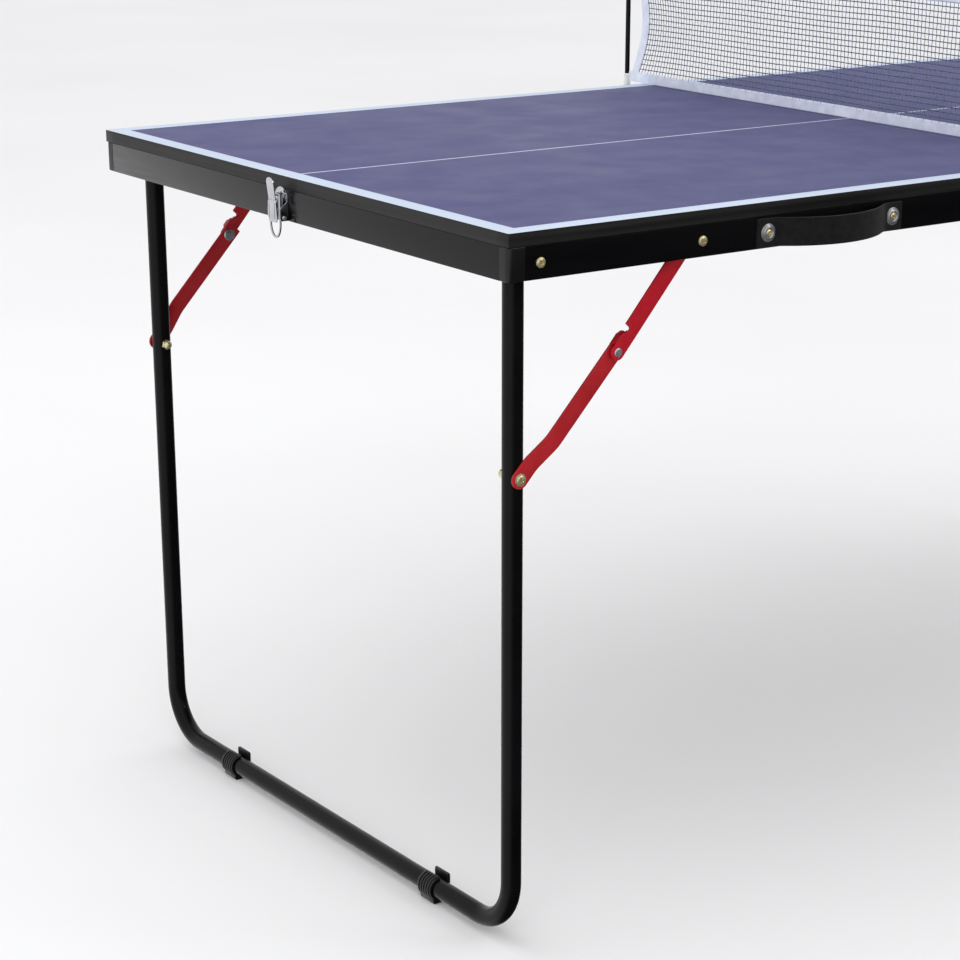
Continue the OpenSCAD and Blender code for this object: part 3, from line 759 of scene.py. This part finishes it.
lower_span = [(u, -v, v) for u, v in rounded_end(LOWER_HALF)]
lower_us = [0, 8, *range(12, 54, 2), 80, 110, LOWER_L, PLATE_END - 0.6]
lower_span += [(u, -LOWER_HALF, LOWER_HALF) for u in lower_us]
lower_span += [(PLATE_END, -LOWER_HALF + 0.6, LOWER_HALF), (PLATE_END, TAB_V, LOWER_HALF)]
for k in range(1, 11):
    u = PLATE_END + k * (TAB_END - PLATE_END) / 10
    lower_span.append((u, TAB_V, tab_top(u)))
lower_arm = strip([(u, v0, v1, lower_w(u), lower_w(u) + ARM_T) for u, v0, v1 in lower_span])

# Its flange stands out beside the upper arm's edge
FLANGE_START, FLANGE_L, FLANGE_T = 2, 12, 0.9
FLANGE_OUT = UPPER_OUT + 1
flange = []
for k in range(17):
    u = FLANGE_START + k * FLANGE_L / 16
    rise = min(1, (u - FLANGE_START) / 5, (FLANGE_START + FLANGE_L + 0.6 - u) / 2.5)
    out = LOWER_OUT + (FLANGE_OUT - LOWER_OUT) * math.sin(math.pi / 2 * rise)
    low = 8.15 + 0.038 * u
    flange.append((LOWER_L + u, low, low + FLANGE_T, LOWER_IN + 0.1, out))
lower_arm.join(strip(flange, 0.5))
lower_arm = lower_arm.placed(near_at(LEG_PIVOT, LOWER_ANGLE))
pair("lower_arms", on_both_sides(lower_arm), "braces_lower", RED_LOWER)


# -- Middle joint and the net's brackets

LINK_LO, LINK_HI = box("joint_links")
LINK_X, LINK_Z = pivot("middle_joint_right")
LINK_T = 3
LINK_IN, LINK_OUT = LINK_HI[1] - LINK_T, LINK_HI[1]
LINK_RIB = (10, 2.6)
LINK_R = (LINK_HI[2] - LINK_LO[2]) / 2
link_outline = arc(-LINK_X, 0, LINK_R, 90, 270, 20) + arc(LINK_X, 0, LINK_R, -90, 90, 20)
link = plate(link_outline, LINK_IN, LINK_OUT, 0.5)
rib_corners = [(s * LINK_RIB[0], t * LINK_RIB[1]) for s, t in ((-1, -1), (1, -1), (1, 1), (-1, 1))]
link.join(plate(rib_corners, LINK_OUT - 0.3, LINK_OUT + 0.4, 0.35))
piece("joint_links_look", on_both_sides(link.placed(near_at((0, LINK_Z)))), "middle_links",
      GREY_STEEL, ["joint_links"])
PIN_TOP = LINK_OUT + 0.4
joint_pin = lathe([(BOLT_R, RAIL_IN), (BOLT_R, PIN_TOP), (HEAD_R - 0.3, PIN_TOP),
                   (HEAD_R, PIN_TOP + 0.4), (HEAD_R - 0.2, PIN_TOP + 1),
                   (HEAD_R - 1.4, PIN_TOP + 1.7), (1.4, PIN_TOP + 2),
                   (1.1, PIN_TOP + 1.6), (0, PIN_TOP + 1.5)], 40)
pair("joint_pins", on_both_sides(joint_pin.placed(near_at((-LINK_X, LINK_Z)))), "half",
     GREY_STEEL)

# Bracket: an arm welded to the link, and a socket with two raised rings
BRACKET_HALF, BRACKET_H = 5, 10
SOCKET_R, SOCKET_H = 6, 28
SOCKET_Z = LINK_Z - 2
bracket = block((-BRACKET_HALF, -POST_Y + 4, SOCKET_Z),
                (BRACKET_HALF, -LINK_OUT, SOCKET_Z + BRACKET_H), 0.8)
for r_in, r_out, low, high, edge in (
    (POST_R + FIT, SOCKET_R, 0, SOCKET_H, 0.7),
    (POST_R + 0.3, SOCKET_R + 0.5, SOCKET_H - 3, SOCKET_H - 0.6, 0.4),
    (POST_R + 1.6, SOCKET_R + 0.4, BRACKET_H, BRACKET_H + 1.4, 0.5),
):
    collar = ring(r_in, r_out, SOCKET_Z + low, SOCKET_Z + high, edge)
    bracket.join(collar.placed(shift(0, -POST_Y, 0)))
for side in (-1, 1):
    weld = [(side * (BRACKET_HALF + 0.2), -LINK_OUT - 0.4, SOCKET_Z + 0.4 + 9.2 * k / 6)
            for k in range(7)]
    bracket.join(tube(weld, 0.8, 8, (1, 0, 0)))
piece("net_brackets_look", on_both_sides(bracket), "middle_links", TUBE_BLACK,
      ["net_brackets"])


# -- Carry handle

STRAP_LO, STRAP_HI = box("handle_strap")
WASHER_LO, WASHER_HI = box("handle_washers")
STRAP_T = 2.5
STRAP_FLAT = 24
STRAP_STEP, SMOOTHINGS, BEND_SPREAD = 0.8, 90, 9
RIBS, RIB_DEPTH, WEAVE_DEPTH, LIP_DEPTH = 13, 0.16, 0.05, 0.5
HANDLE_Z = (WASHER_LO[2] + WASHER_HI[2]) / 2
WASHER_R = (WASHER_HI[2] - WASHER_LO[2]) / 2
SCREW_X = (WASHER_LO[0] + WASHER_R, WASHER_HI[0] - WASHER_R)
strap_mid = (STRAP_LO[0] + STRAP_HI[0]) / 2
arc_half = (STRAP_HI[0] - STRAP_LO[0]) / 2 - STRAP_FLAT
bow = -STRAP_LO[1] - SIDE_Y - STRAP_T / 2
arc_r = (arc_half ** 2 + bow ** 2) / (2 * bow)
xs = np.arange(STRAP_LO[0], STRAP_HI[0] + 0.01, STRAP_STEP)
outs = np.zeros(len(xs))
inside = np.abs(xs - strap_mid) < arc_half
outs[inside] = np.sqrt(arc_r ** 2 - (xs[inside] - strap_mid) ** 2) - (arc_r - bow)
for _ in range(SMOOTHINGS):
    outs[1:-1] = (outs[:-2] + 2 * outs[1:-1] + outs[2:]) / 4
outs = np.maximum(outs, 0) * bow / outs.max()
outs[np.abs(xs - strap_mid) > arc_half + BEND_SPREAD] = 0
strap_path = np.stack([xs, outs], 1)
strap_tan = np.gradient(strap_path, axis=0)
strap_tan /= np.linalg.norm(strap_tan, axis=1)[:, None]
STRAP_W = STRAP_HI[2] - STRAP_LO[2]
face_n = RIBS * 6
strap_rings = []
for k, ((x, out), (tx, to)) in enumerate(zip(strap_path, strap_tan)):
    ring_points = []
    for side in (1, -1):
        for j in range(face_n + 1):
            share = j / face_n
            z = (share - 0.5) * side * (STRAP_W - 0.8)
            rib = RIB_DEPTH * abs(math.sin(math.pi * RIBS * share))
            step = WEAVE_DEPTH * (1 if (k // 2 + int(RIBS * share)) % 2 else -1)
            lip = LIP_DEPTH * max(0, abs(2 * share - 1) - 0.96) / 0.04
            w = side * (STRAP_T / 2 - RIB_DEPTH + rib + step - lip)
            ring_points.append((x - to * w, -(SIDE_Y + STRAP_T / 2 + out + tx * w), HANDLE_Z + z))
    strap_rings.append(ring_points)
strap = piece("handle_strap_look", stack(strap_rings), "left_half", WEBBING,
              ["handle_strap"], 60)

cup = [(8.6, 0), (8.7, 0.35), (8.3, 0.75), (7.6, 0.85), (6.6, 1.35), (6.0, 1.95), (5.5, 2.3),
       (4.9, 2.35), (4.5, 2.05), (4.1, 1.3), (3.4, 0.9), (0, 0.9)]
cups, screws = Shape(), Shape()
seat = SIDE_Y + STRAP_T
for x in SCREW_X:
    cups.join(lathe([(r, seat - 0.1 + w) for r, w in cup], 64).placed(near_at((x, HANDLE_Z))))
    head = cross_head(3.7, 1.9).placed(shift(0, 0, seat + 0.85))
    screws.join(head.placed(near_at((x, HANDLE_Z), 30 if x == SCREW_X[0] else -14)))
piece("handle_washers_look", cups, "left_half", GREY_STEEL, ["handle_washers"])
piece("handle_screws_look", screws, "left_half", ZINC, ["handle_screws"])


# -- Draw latch

LATCH_HALF = BASE_HI[1] - LATCH_Y
FACE_W = -END_X
LEVER_X, LEVER_Z = pivot("latch_lever_swing")
LOOP_X, LOOP_Z = pivot("latch_loop_swing")
LEVER_W, LOOP_W = -LEVER_X, -LOOP_X
PLATE_T, CHEEK_T, PIN_R, SCREW_OFFSET = 1.2, 1, 1.5, 6.5
arch = [(-LATCH_HALF, BASE_LO[2]), (LATCH_HALF, BASE_LO[2])]
arch += arc(0, BASE_HI[2] - LATCH_HALF, LATCH_HALF, 0, 180, 28)
base = plate(arch, FACE_W, FACE_W + PLATE_T, 0.35)


cheek = [(0, 0), (7.4, 0), (9.2, 1.4), (9.7, 3), (9.7, 12), (8, 13.6), (1, 19.5), (0, 19.5)]
cheek = [(FACE_W + w, BASE_LO[2] + v) for w, v in cheek]
for u in (-LATCH_HALF, LATCH_HALF - CHEEK_T):
    base.join(plate(cheek, u, u + CHEEK_T, 0.25).placed(sideways))
base = base.placed(end_on)
piece("latch_base_look", base, "left_half", CHROME, ["latch_base"])
pin_head = lathe([(2.3, LATCH_HALF), (2.3, LATCH_HALF + 0.3), (1.6, LATCH_HALF + 0.9),
                  (0, LATCH_HALF + 1)], 24)
pin = Shape()
for sign in (-1, 1):
    pin.join(pin_head.placed(lambda u, v, w, s=sign: (u, v, s * w)))
pin.join(lathe([(PIN_R, -LATCH_HALF), (PIN_R, LATCH_HALF)], 24))
pin = pin.placed(lambda u, v, w: (LEVER_X + u, LATCH_Y + w, LEVER_Z + v))
piece("latch_pin_look", pin, "left_half", BRIGHT_STEEL, ["latch_pin"])


def end_screws(node, r, h, offset, seat_w):
    """Two cross-headed screws on an end face, at equal offsets from the latch's middle."""
    low, high = box(node)
    made = Shape()
    for y in (-offset, offset):
        head = cross_head(r, h).placed(shift(-y, (low[2] + high[2]) / 2, seat_w))
        made.join(head.placed(end_on))
    return made


latch_heads = end_screws("latch_screws", 1.8, 0.9, SCREW_OFFSET, FACE_W + PLATE_T)
piece("latch_screws_look", latch_heads, "left_half", BRIGHT_STEEL, ["latch_screws"])

# Lever: two cheeks, a wide plate with two ridges, a slot, and a narrower tongue that tips outwards
LEVER_HI = box("latch_lever")[1]
LEVER_HALF = LEVER_HI[1] - LATCH_Y
LEVER_CHEEK_T, LEVER_T, BARREL_R = 1.2, 1.3, 3.2
TONGUE_HALF, TIP_H = 6.5, 6
LEVER_ROWS, FACE_COLS = 120, 18
base_z = RAIL_LO[2]
lever_low = base_z - 1
NECK_Z, SLOT_Z, SLOT_DEPTH = base_z + 20, base_z + 21, 1.0
side_cheek = [(FACE_W + 1.9, LEVER_Z - 1.5), (FACE_W + 3.4, LEVER_Z - BARREL_R)]
side_cheek += [(FACE_W + 5, LEVER_Z - BARREL_R), (FACE_W + 11.2, LEVER_Z - 0.3)]
side_cheek += [(FACE_W + 12, base_z + 18), (FACE_W + 11, base_z + 20)]
side_cheek += [(FACE_W + 7, LOOP_Z + 2.8), (FACE_W + 5, LOOP_Z + 1.4), (FACE_W + 1.9, LEVER_Z + 2)]
lever = Shape()
for u in (-LEVER_HALF, LEVER_HALF - LEVER_CHEEK_T):
    lever.join(plate(side_cheek, u, u + LEVER_CHEEK_T, 0.4).placed(sideways))


def lever_face(v):
    """How far the lever's outer face stands out at a height."""
    rise = max(0, (v - NECK_Z) / (LEVER_HI[2] - NECK_Z))
    return FACE_W + 11.6 + 0.4 * min(1, (v - base_z) / 20) + 2.9 * rise ** 1.15


def lever_reach(v):
    """Half width of the lever at a height: wide, then the tongue with its rounded tip."""
    if v < NECK_Z - 1:
        reach = LEVER_HALF - 0.9 * (1 - min(1, (v - lever_low) / 3))
    else:
        reach = TONGUE_HALF + (LEVER_HALF - TONGUE_HALF) * max(0, 1 - (v - NECK_Z + 1) / 2)
    tip = max(0, (v - LEVER_HI[2] + TIP_H) / TIP_H)
    return reach * math.sqrt(max(0.02, 1 - tip ** 2))


lever_rings = []
for k in range(LEVER_ROWS):
    v = lever_low + k * (LEVER_HI[2] - lever_low) / (LEVER_ROWS - 1)
    reach = lever_reach(v)
    ring_points = []
    for side in (1, -1):
        for j in range(FACE_COLS + 1):
            share = j / FACE_COLS * 2 - 1
            crown = 0.35 * (1 - share ** 2) - 0.5 * max(0, abs(share) - 0.88) / 0.12
            if abs(share) < 0.8:
                crown -= SLOT_DEPTH * math.exp(-((v - SLOT_Z) / 0.55) ** 2)
            w = lever_face(v) + (crown if side == 1 else -LEVER_T)
            ring_points.append((share * reach * side, v, w))
    lever_rings.append(ring_points)
lever.join(stack(lever_rings))
for u in (-5, 5):
    heights = [base_z + 2 + 2 * k for k in range(9)]
    lever.join(tube([(u, v, lever_face(v) + 0.15) for v in heights], 0.45, 8, (1, 0, 0)))
lever.join(lathe([(BARREL_R, -LEVER_HALF), (BARREL_R, LEVER_HALF)], 32).placed(
    lambda a, b, w: (w, LEVER_Z + b, LEVER_W + a)))
piece("latch_lever_look", lever.placed(end_on), "latch_lever", CHROME, ["latch_lever"])

# Wire loop: straight sides, a rounded end, and a cross run through the lever
LOOP_LO, LOOP_HI = box("latch_loop")
WIRE_R = (LOOP_HI[0] - LOOP_LO[0]) / 2
LOOP_HALF = LOOP_HI[1] - LATCH_Y - WIRE_R
LOOP_ROUND = 13
loop_end = LOOP_LO[2] + WIRE_R
straight = LOOP_Z - loop_end - LOOP_ROUND
loop_path = [(LOOP_HALF, LOOP_Z - k * straight / 12) for k in range(13)]
for a in range(8, 90, 8):
    u = LOOP_HALF * math.cos(math.radians(a)) ** 0.9
    loop_path.append((u, loop_end + LOOP_ROUND * (1 - math.sin(math.radians(a)) ** 1.15)))
loop_path += [(0, loop_end)] + [(-u, v) for u, v in loop_path[::-1]]
top_run = [(LOOP_HALF * (1 - 2 * k / 16), LOOP_Z) for k in range(1, 16)]
loop_points = [(u, v, LOOP_W) for u, v in loop_path + [(-u, v) for u, v in top_run]]
loop = tube(loop_points, WIRE_R, 20, (0, 0, 1), closed=True)
piece("latch_loop_look", loop.placed(end_on), "latch_loop", CHROME, ["latch_loop"])

# Keeper on the other end: a plate with cut corners and an upturned hook
KEEPER_LO, KEEPER_HI = box("latch_keeper")
KEEPER_CUT, HOOK_HALF = 2, 6
hook_z = RAIL_LO[2] + 9.5
hook = [(0, 0), (5.4, 0), (6, 0.6), (6, 5), (5.6, 5.5), (4.5, 5), (4.5, 1.9), (4, 1.5), (0, 1.5)]
hook = [(FACE_W + w, hook_z + v) for w, v in hook]
keep_half = (KEEPER_HI[1] - KEEPER_LO[1]) / 2
keeper_side = [(keep_half - KEEPER_CUT, KEEPER_LO[2]), (keep_half, KEEPER_LO[2] + KEEPER_CUT)]
keeper_side += [(keep_half, KEEPER_HI[2] - KEEPER_CUT), (keep_half - KEEPER_CUT, KEEPER_HI[2])]
keeper_outline = [(-u, v) for u, v in keeper_side[1::-1]] + keeper_side
keeper_outline += [(-u, v) for u, v in keeper_side[:1:-1]]
keeper = plate(keeper_outline, FACE_W, FACE_W + PLATE_T, 0.3)
keeper.join(plate(hook, -HOOK_HALF, HOOK_HALF, 0.3).placed(sideways))
piece("latch_keeper_look", keeper.placed(end_on).mirrored(0), "right_half", CHROME,
      ["latch_keeper"])
keeper_low, keeper_high = box("keeper_screws")
keep_screw_r = (keeper_high[2] - keeper_low[2]) / 2
keep_offset = (keeper_high[1] - keeper_low[1]) / 2 - keep_screw_r
keeper_heads = end_screws("keeper_screws", keep_screw_r, 1.0, keep_offset, FACE_W + PLATE_T)
piece("keeper_screws_look", keeper_heads.mirrored(0), "right_half", BRIGHT_STEEL,
      ["keeper_screws"])


# -- Net posts and sleeves

post = lathe([(0, POST_LO[2]), (POST_R - 0.5, POST_LO[2]), (POST_R, POST_LO[2] + 0.5),
              (POST_R, POST_HI[2] - 2), (POST_R - 0.6, POST_HI[2] - 0.8),
              (POST_R - 1.6, POST_HI[2] - 0.1), (0, POST_HI[2])], 32)
piece("net_posts_look", on_both_sides(post.placed(shift(0, -POST_Y, 0))), "net",
      TUBE_BLACK, ["net_posts"])
SLEEVE_LO, SLEEVE_HI = box("post_sleeves")
SLEEVE_R = SLEEVE_HI[1] - POST_Y
sleeve = ring(POST_R + 0.02, SLEEVE_R, SLEEVE_LO[2], SLEEVE_HI[2], 0.5)
for z in (SLEEVE_LO[2] + 2, SLEEVE_HI[2] - 3):
    sleeve.join(ring(POST_R + 0.3, SLEEVE_R + 0.25, z, z + 1.2, 0.3))
piece("post_sleeves_look", on_both_sides(sleeve.placed(shift(0, -POST_Y, 0))), "net",
      WHITE_PLASTIC, ["post_sleeves"])

# -- Net

TAPE_LO, TAPE_HI = box("net_bottom_tape")
NET_EDGE = TAPE_HI[1]
NET_BOTTOM = TAPE_LO[2]
NET_TOP = box("net_top_tape")[1][2]
TAPE_H = TAPE_HI[2] - TAPE_LO[2]
HEM_W, HEM_BOW, HEM_T = 13, 24, 1.3
BOTTOM_T, TOP_T = 1.2, 2.0
MESH_LO, MESH_HI = NET_BOTTOM + TAPE_H, NET_TOP - TAPE_H
CELL, ROWS = 6.07, 22
UPRIGHT_R, ACROSS_R = 0.42, 0.6
SEAM_IN = 2.2


def side_bow(z):
    """How far the side of the net stands in from its post at a height."""
    return HEM_BOW * math.sin(math.pi * (z - NET_BOTTOM) / (NET_TOP - NET_BOTTOM))


def wave(y, z):
    """Slight waviness of the hanging net, out of its plane."""
    loose = math.sin(math.pi * (z - NET_BOTTOM) / (NET_TOP - NET_BOTTOM))
    return loose * (1.3 * math.sin(y / 61 + z / 90) + 0.8 * math.sin(y / 23 - z / 40))


def net_point(y, z, off):
    """A point of the flat net, drawn in near its sides, a little out of its plane."""
    reach = NET_EDGE - HEM_W
    share = abs(y) / reach
    pulled = y - math.copysign(side_bow(z), y) * share ** 5
    return (off + wave(pulled, z), pulled, z + 0.5 * math.sin(y / 37) * math.sin((z - MESH_LO) / 21))


columns = int((NET_EDGE - HEM_W) / CELL)
heights = np.linspace(MESH_LO - 2, MESH_HI + 2, ROWS)
strands = Shape()
for i in range(-columns, columns + 1):
    path = []
    for k, z in enumerate(np.linspace(heights[0], heights[-1], 2 * ROWS - 1)):
        path.append(net_point(i * CELL, z, UPRIGHT_R * math.cos(math.pi * (k / 2 + i))))
    strands.join(tube(path, UPRIGHT_R, 5, (0, 1, 0), slot=1))
side_reach = NET_EDGE - HEM_W + 2
for j, z in enumerate(heights[1:-1], 1):
    path = []
    for k in range(-2 * columns - 1, 2 * columns + 2):
        y = max(-side_reach, min(side_reach, k * CELL / 2))
        path.append(net_point(y, z, -UPRIGHT_R * math.cos(math.pi * (k / 2 + j))))
    strands.join(tube(path, ACROSS_R, 5, (0, 0, 1)))
net = piece("net_mesh_look", strands, "net", [STRAND, STRAND_PALE], ["net_mesh"], 80)


def band(rows, thick, across_n):
    """Cloth strip: rows of (edge point, edge point) in the net's plane, bulged at its edges."""
    rings = []
    for (y0, z0), (y1, z1) in rows:
        points = []
        for side in (1, -1):
            for k in range(across_n + 1):
                share = k / across_n if side == 1 else 1 - k / across_n
                y, z = y0 + (y1 - y0) * share, z0 + (z1 - z0) * share
                half = thick / 2 * (0.55 if k in (0, across_n) else 1)
                if k in (1, across_n - 1):
                    half *= 1.12
                if k in (2, across_n - 2):
                    half *= 0.86
                points.append((side * half + wave(y, z), y, z))
        rings.append(points)
    return stack(rings)


def stitches(points, length=2.4, pitch=3.6, r=0.22, out=0.0):
    """Row of short stitches along a line, on both faces of a tape."""
    made = Shape()
    line = np.array(points)
    steps = np.linalg.norm(np.diff(line, axis=0), axis=1)
    total = np.concatenate([[0], np.cumsum(steps)])
    for i in range(int(total[-1] / pitch)):
        start = i * pitch + (pitch - length) / 2
        at = [start, start + length / 2, start + length]
        for side in (1, -1):
            path = []
            for k, a in enumerate(at):
                y, z = (np.interp(a, total, line[:, c]) for c in (0, 1))
                lift = out + (0.18 if k == 1 else -0.12)
                path.append((side * lift + wave(y, z), y, z))
            made.join(tube(path, r, 5, (1, 0, 0.2)))
    return made


ys = np.linspace(-NET_EDGE, NET_EDGE, 210)
bottom = piece(
    "net_bottom_tape_look", band([((y, NET_BOTTOM), (y, MESH_LO)) for y in ys], BOTTOM_T, 8),
    "net", TAPE, ["net_bottom_tape"], 70,
)
top_tape = band([((y, MESH_HI), (y, NET_TOP)) for y in ys], TOP_T, 8)
for sign in (-1, 1):
    pocket = ring(POST_R + 0.05, POST_R + 0.95, MESH_HI, NET_TOP, 0.25)
    top_tape.join(pocket.placed(shift(0, sign * POST_Y, 0)))
top = piece("net_top_tape_look", top_tape, "net", TAPE, ["net_top_tape"], 70)
bottom_seams = stitches([(y, MESH_LO - SEAM_IN) for y in ys], out=BOTTOM_T / 2)
top_seams = stitches([(y, MESH_HI + SEAM_IN) for y in ys], out=TOP_T / 2)
bottom_stitch = piece("net_bottom_stitches", bottom_seams, "net", STITCH)
top_stitch = piece("net_top_stitches", top_seams, "net", STITCH)

zs = np.linspace(MESH_LO - 1, MESH_HI + 1, 40)
hem_line = [(NET_EDGE - side_bow(z), z) for z in zs]
for side, sign in (("near", -1), ("far", 1)):
    hem_rows = [((sign * (y - HEM_W), z), (sign * y, z)) for y, z in hem_line]
    hem = piece(f"net_{side}_hem_look", band(hem_rows, HEM_T, 8), "net", TAPE,
                ["net_side_hems"], 70)
    seam = stitches([(sign * (y - HEM_W + 2), z) for y, z in hem_line], out=0.66)
    seam = piece(f"net_{side}_hem_stitches", seam, "net", STITCH)


# ---- Floor, light and camera ----

FLOOR_HALF = 14.0
floor_mesh = bpy.data.meshes.new("floor")
floor_mesh.from_pydata(
    [(-FLOOR_HALF, -FLOOR_HALF, 0), (FLOOR_HALF, -FLOOR_HALF, 0), (FLOOR_HALF, FLOOR_HALF, 0),
     (-FLOOR_HALF, FLOOR_HALF, 0)], [], [(0, 1, 2, 3)],
)
floor_mesh.materials.append(
    surface("floor_pale", (0.88, 0.88, 0.885), (0.91, 0.91, 0.915), 0.8, patch=0.8, grain=300,
            bump=0.05, specular_ior_level=0.1)
)
floor = bpy.data.objects.new("floor", floor_mesh)
bpy.context.scene.collection.objects.link(floor)
floor.visible_glossy = False

WORLD_STRENGTH = 0.95
GLOSSY_DARK_SIDE = (0.5, -0.6, -0.62)


def studio_world():
    """Even pale light, with reflections that darken towards one side."""
    world = bpy.data.worlds.new("studio")
    bpy.context.scene.world = world
    world.use_nodes = True
    tree = world.node_tree
    sky = tree.nodes["Background"]
    direction = tree.nodes.new("ShaderNodeTexCoord").outputs["Generated"]
    facing = tree.nodes.new("ShaderNodeVectorMath")
    facing.operation = "DOT_PRODUCT"
    facing.inputs[1].default_value = GLOSSY_DARK_SIDE
    tree.links.new(direction, facing.inputs[0])
    shade = ramp(tree, facing.outputs["Value"], (0.9, 0.9, 0.92), (0.02, 0.02, 0.022), 0.12, 0.55)
    reflected = tree.nodes.new("ShaderNodeMix")
    reflected.data_type = "RGBA"
    reflected.inputs["A"].default_value = (1.0, 1.0, 1.01, 1)
    rays = tree.nodes.new("ShaderNodeLightPath")
    tree.links.new(rays.outputs["Is Glossy Ray"], reflected.inputs["Factor"])
    tree.links.new(shade, reflected.inputs["B"])
    tree.links.new(reflected.outputs["Result"], sky.inputs["Color"])
    sky.inputs["Strength"].default_value = WORLD_STRENGTH


def area_light(name, place, target, size, watts, glossy=True):
    """Rectangular lamp that looks at a target, hidden from reflections where glossy is off."""
    data = bpy.data.lights.new(name, "AREA")
    data.shape, data.size, data.size_y, data.energy = "RECTANGLE", size[0], size[1], watts
    lamp = bpy.data.objects.new(name, data)
    lamp.location = place
    lamp.rotation_euler = (Vector(target) - Vector(place)).to_track_quat("-Z", "Y").to_euler()
    lamp.visible_glossy = glossy
    bpy.context.scene.collection.objects.link(lamp)


studio_world()
area_light("top_light", (-1.2, 0.6, 4.2), (-0.4, 0, 0.5), (4.0, 3.4), 26, glossy=False)
area_light("front_light", (-3.6, -3.8, 3.2), (-0.6, -0.2, 0.4), (3.0, 3.0), 60, glossy=False)
area_light("rim_light", (1.4, -2.6, 2.6), (-0.6, -0.3, 0.65), (0.8, 0.8), 9)

CAMERA_LENS = 94.127
CAMERA_SHIFT = (-0.0834, 0.1667)
CAMERA_PLACE = (-2.0198, -2.1501, 1.1126)
CAMERA_TURN = (70.4975, -0.529, -36.7376)
camera_data = bpy.data.cameras.new("camera")
camera_data.sensor_width = 36
camera_data.lens = CAMERA_LENS
camera_data.shift_x, camera_data.shift_y = CAMERA_SHIFT
camera_data.clip_end = 80
camera = bpy.data.objects.new("camera", camera_data)
camera.location = CAMERA_PLACE
camera.rotation_euler = Euler([math.radians(a) for a in CAMERA_TURN])
bpy.context.scene.collection.objects.link(camera)
bpy.context.scene.camera = camera
bpy.context.scene.view_settings.view_transform = "Standard"

bpy.context.view_layer.update()
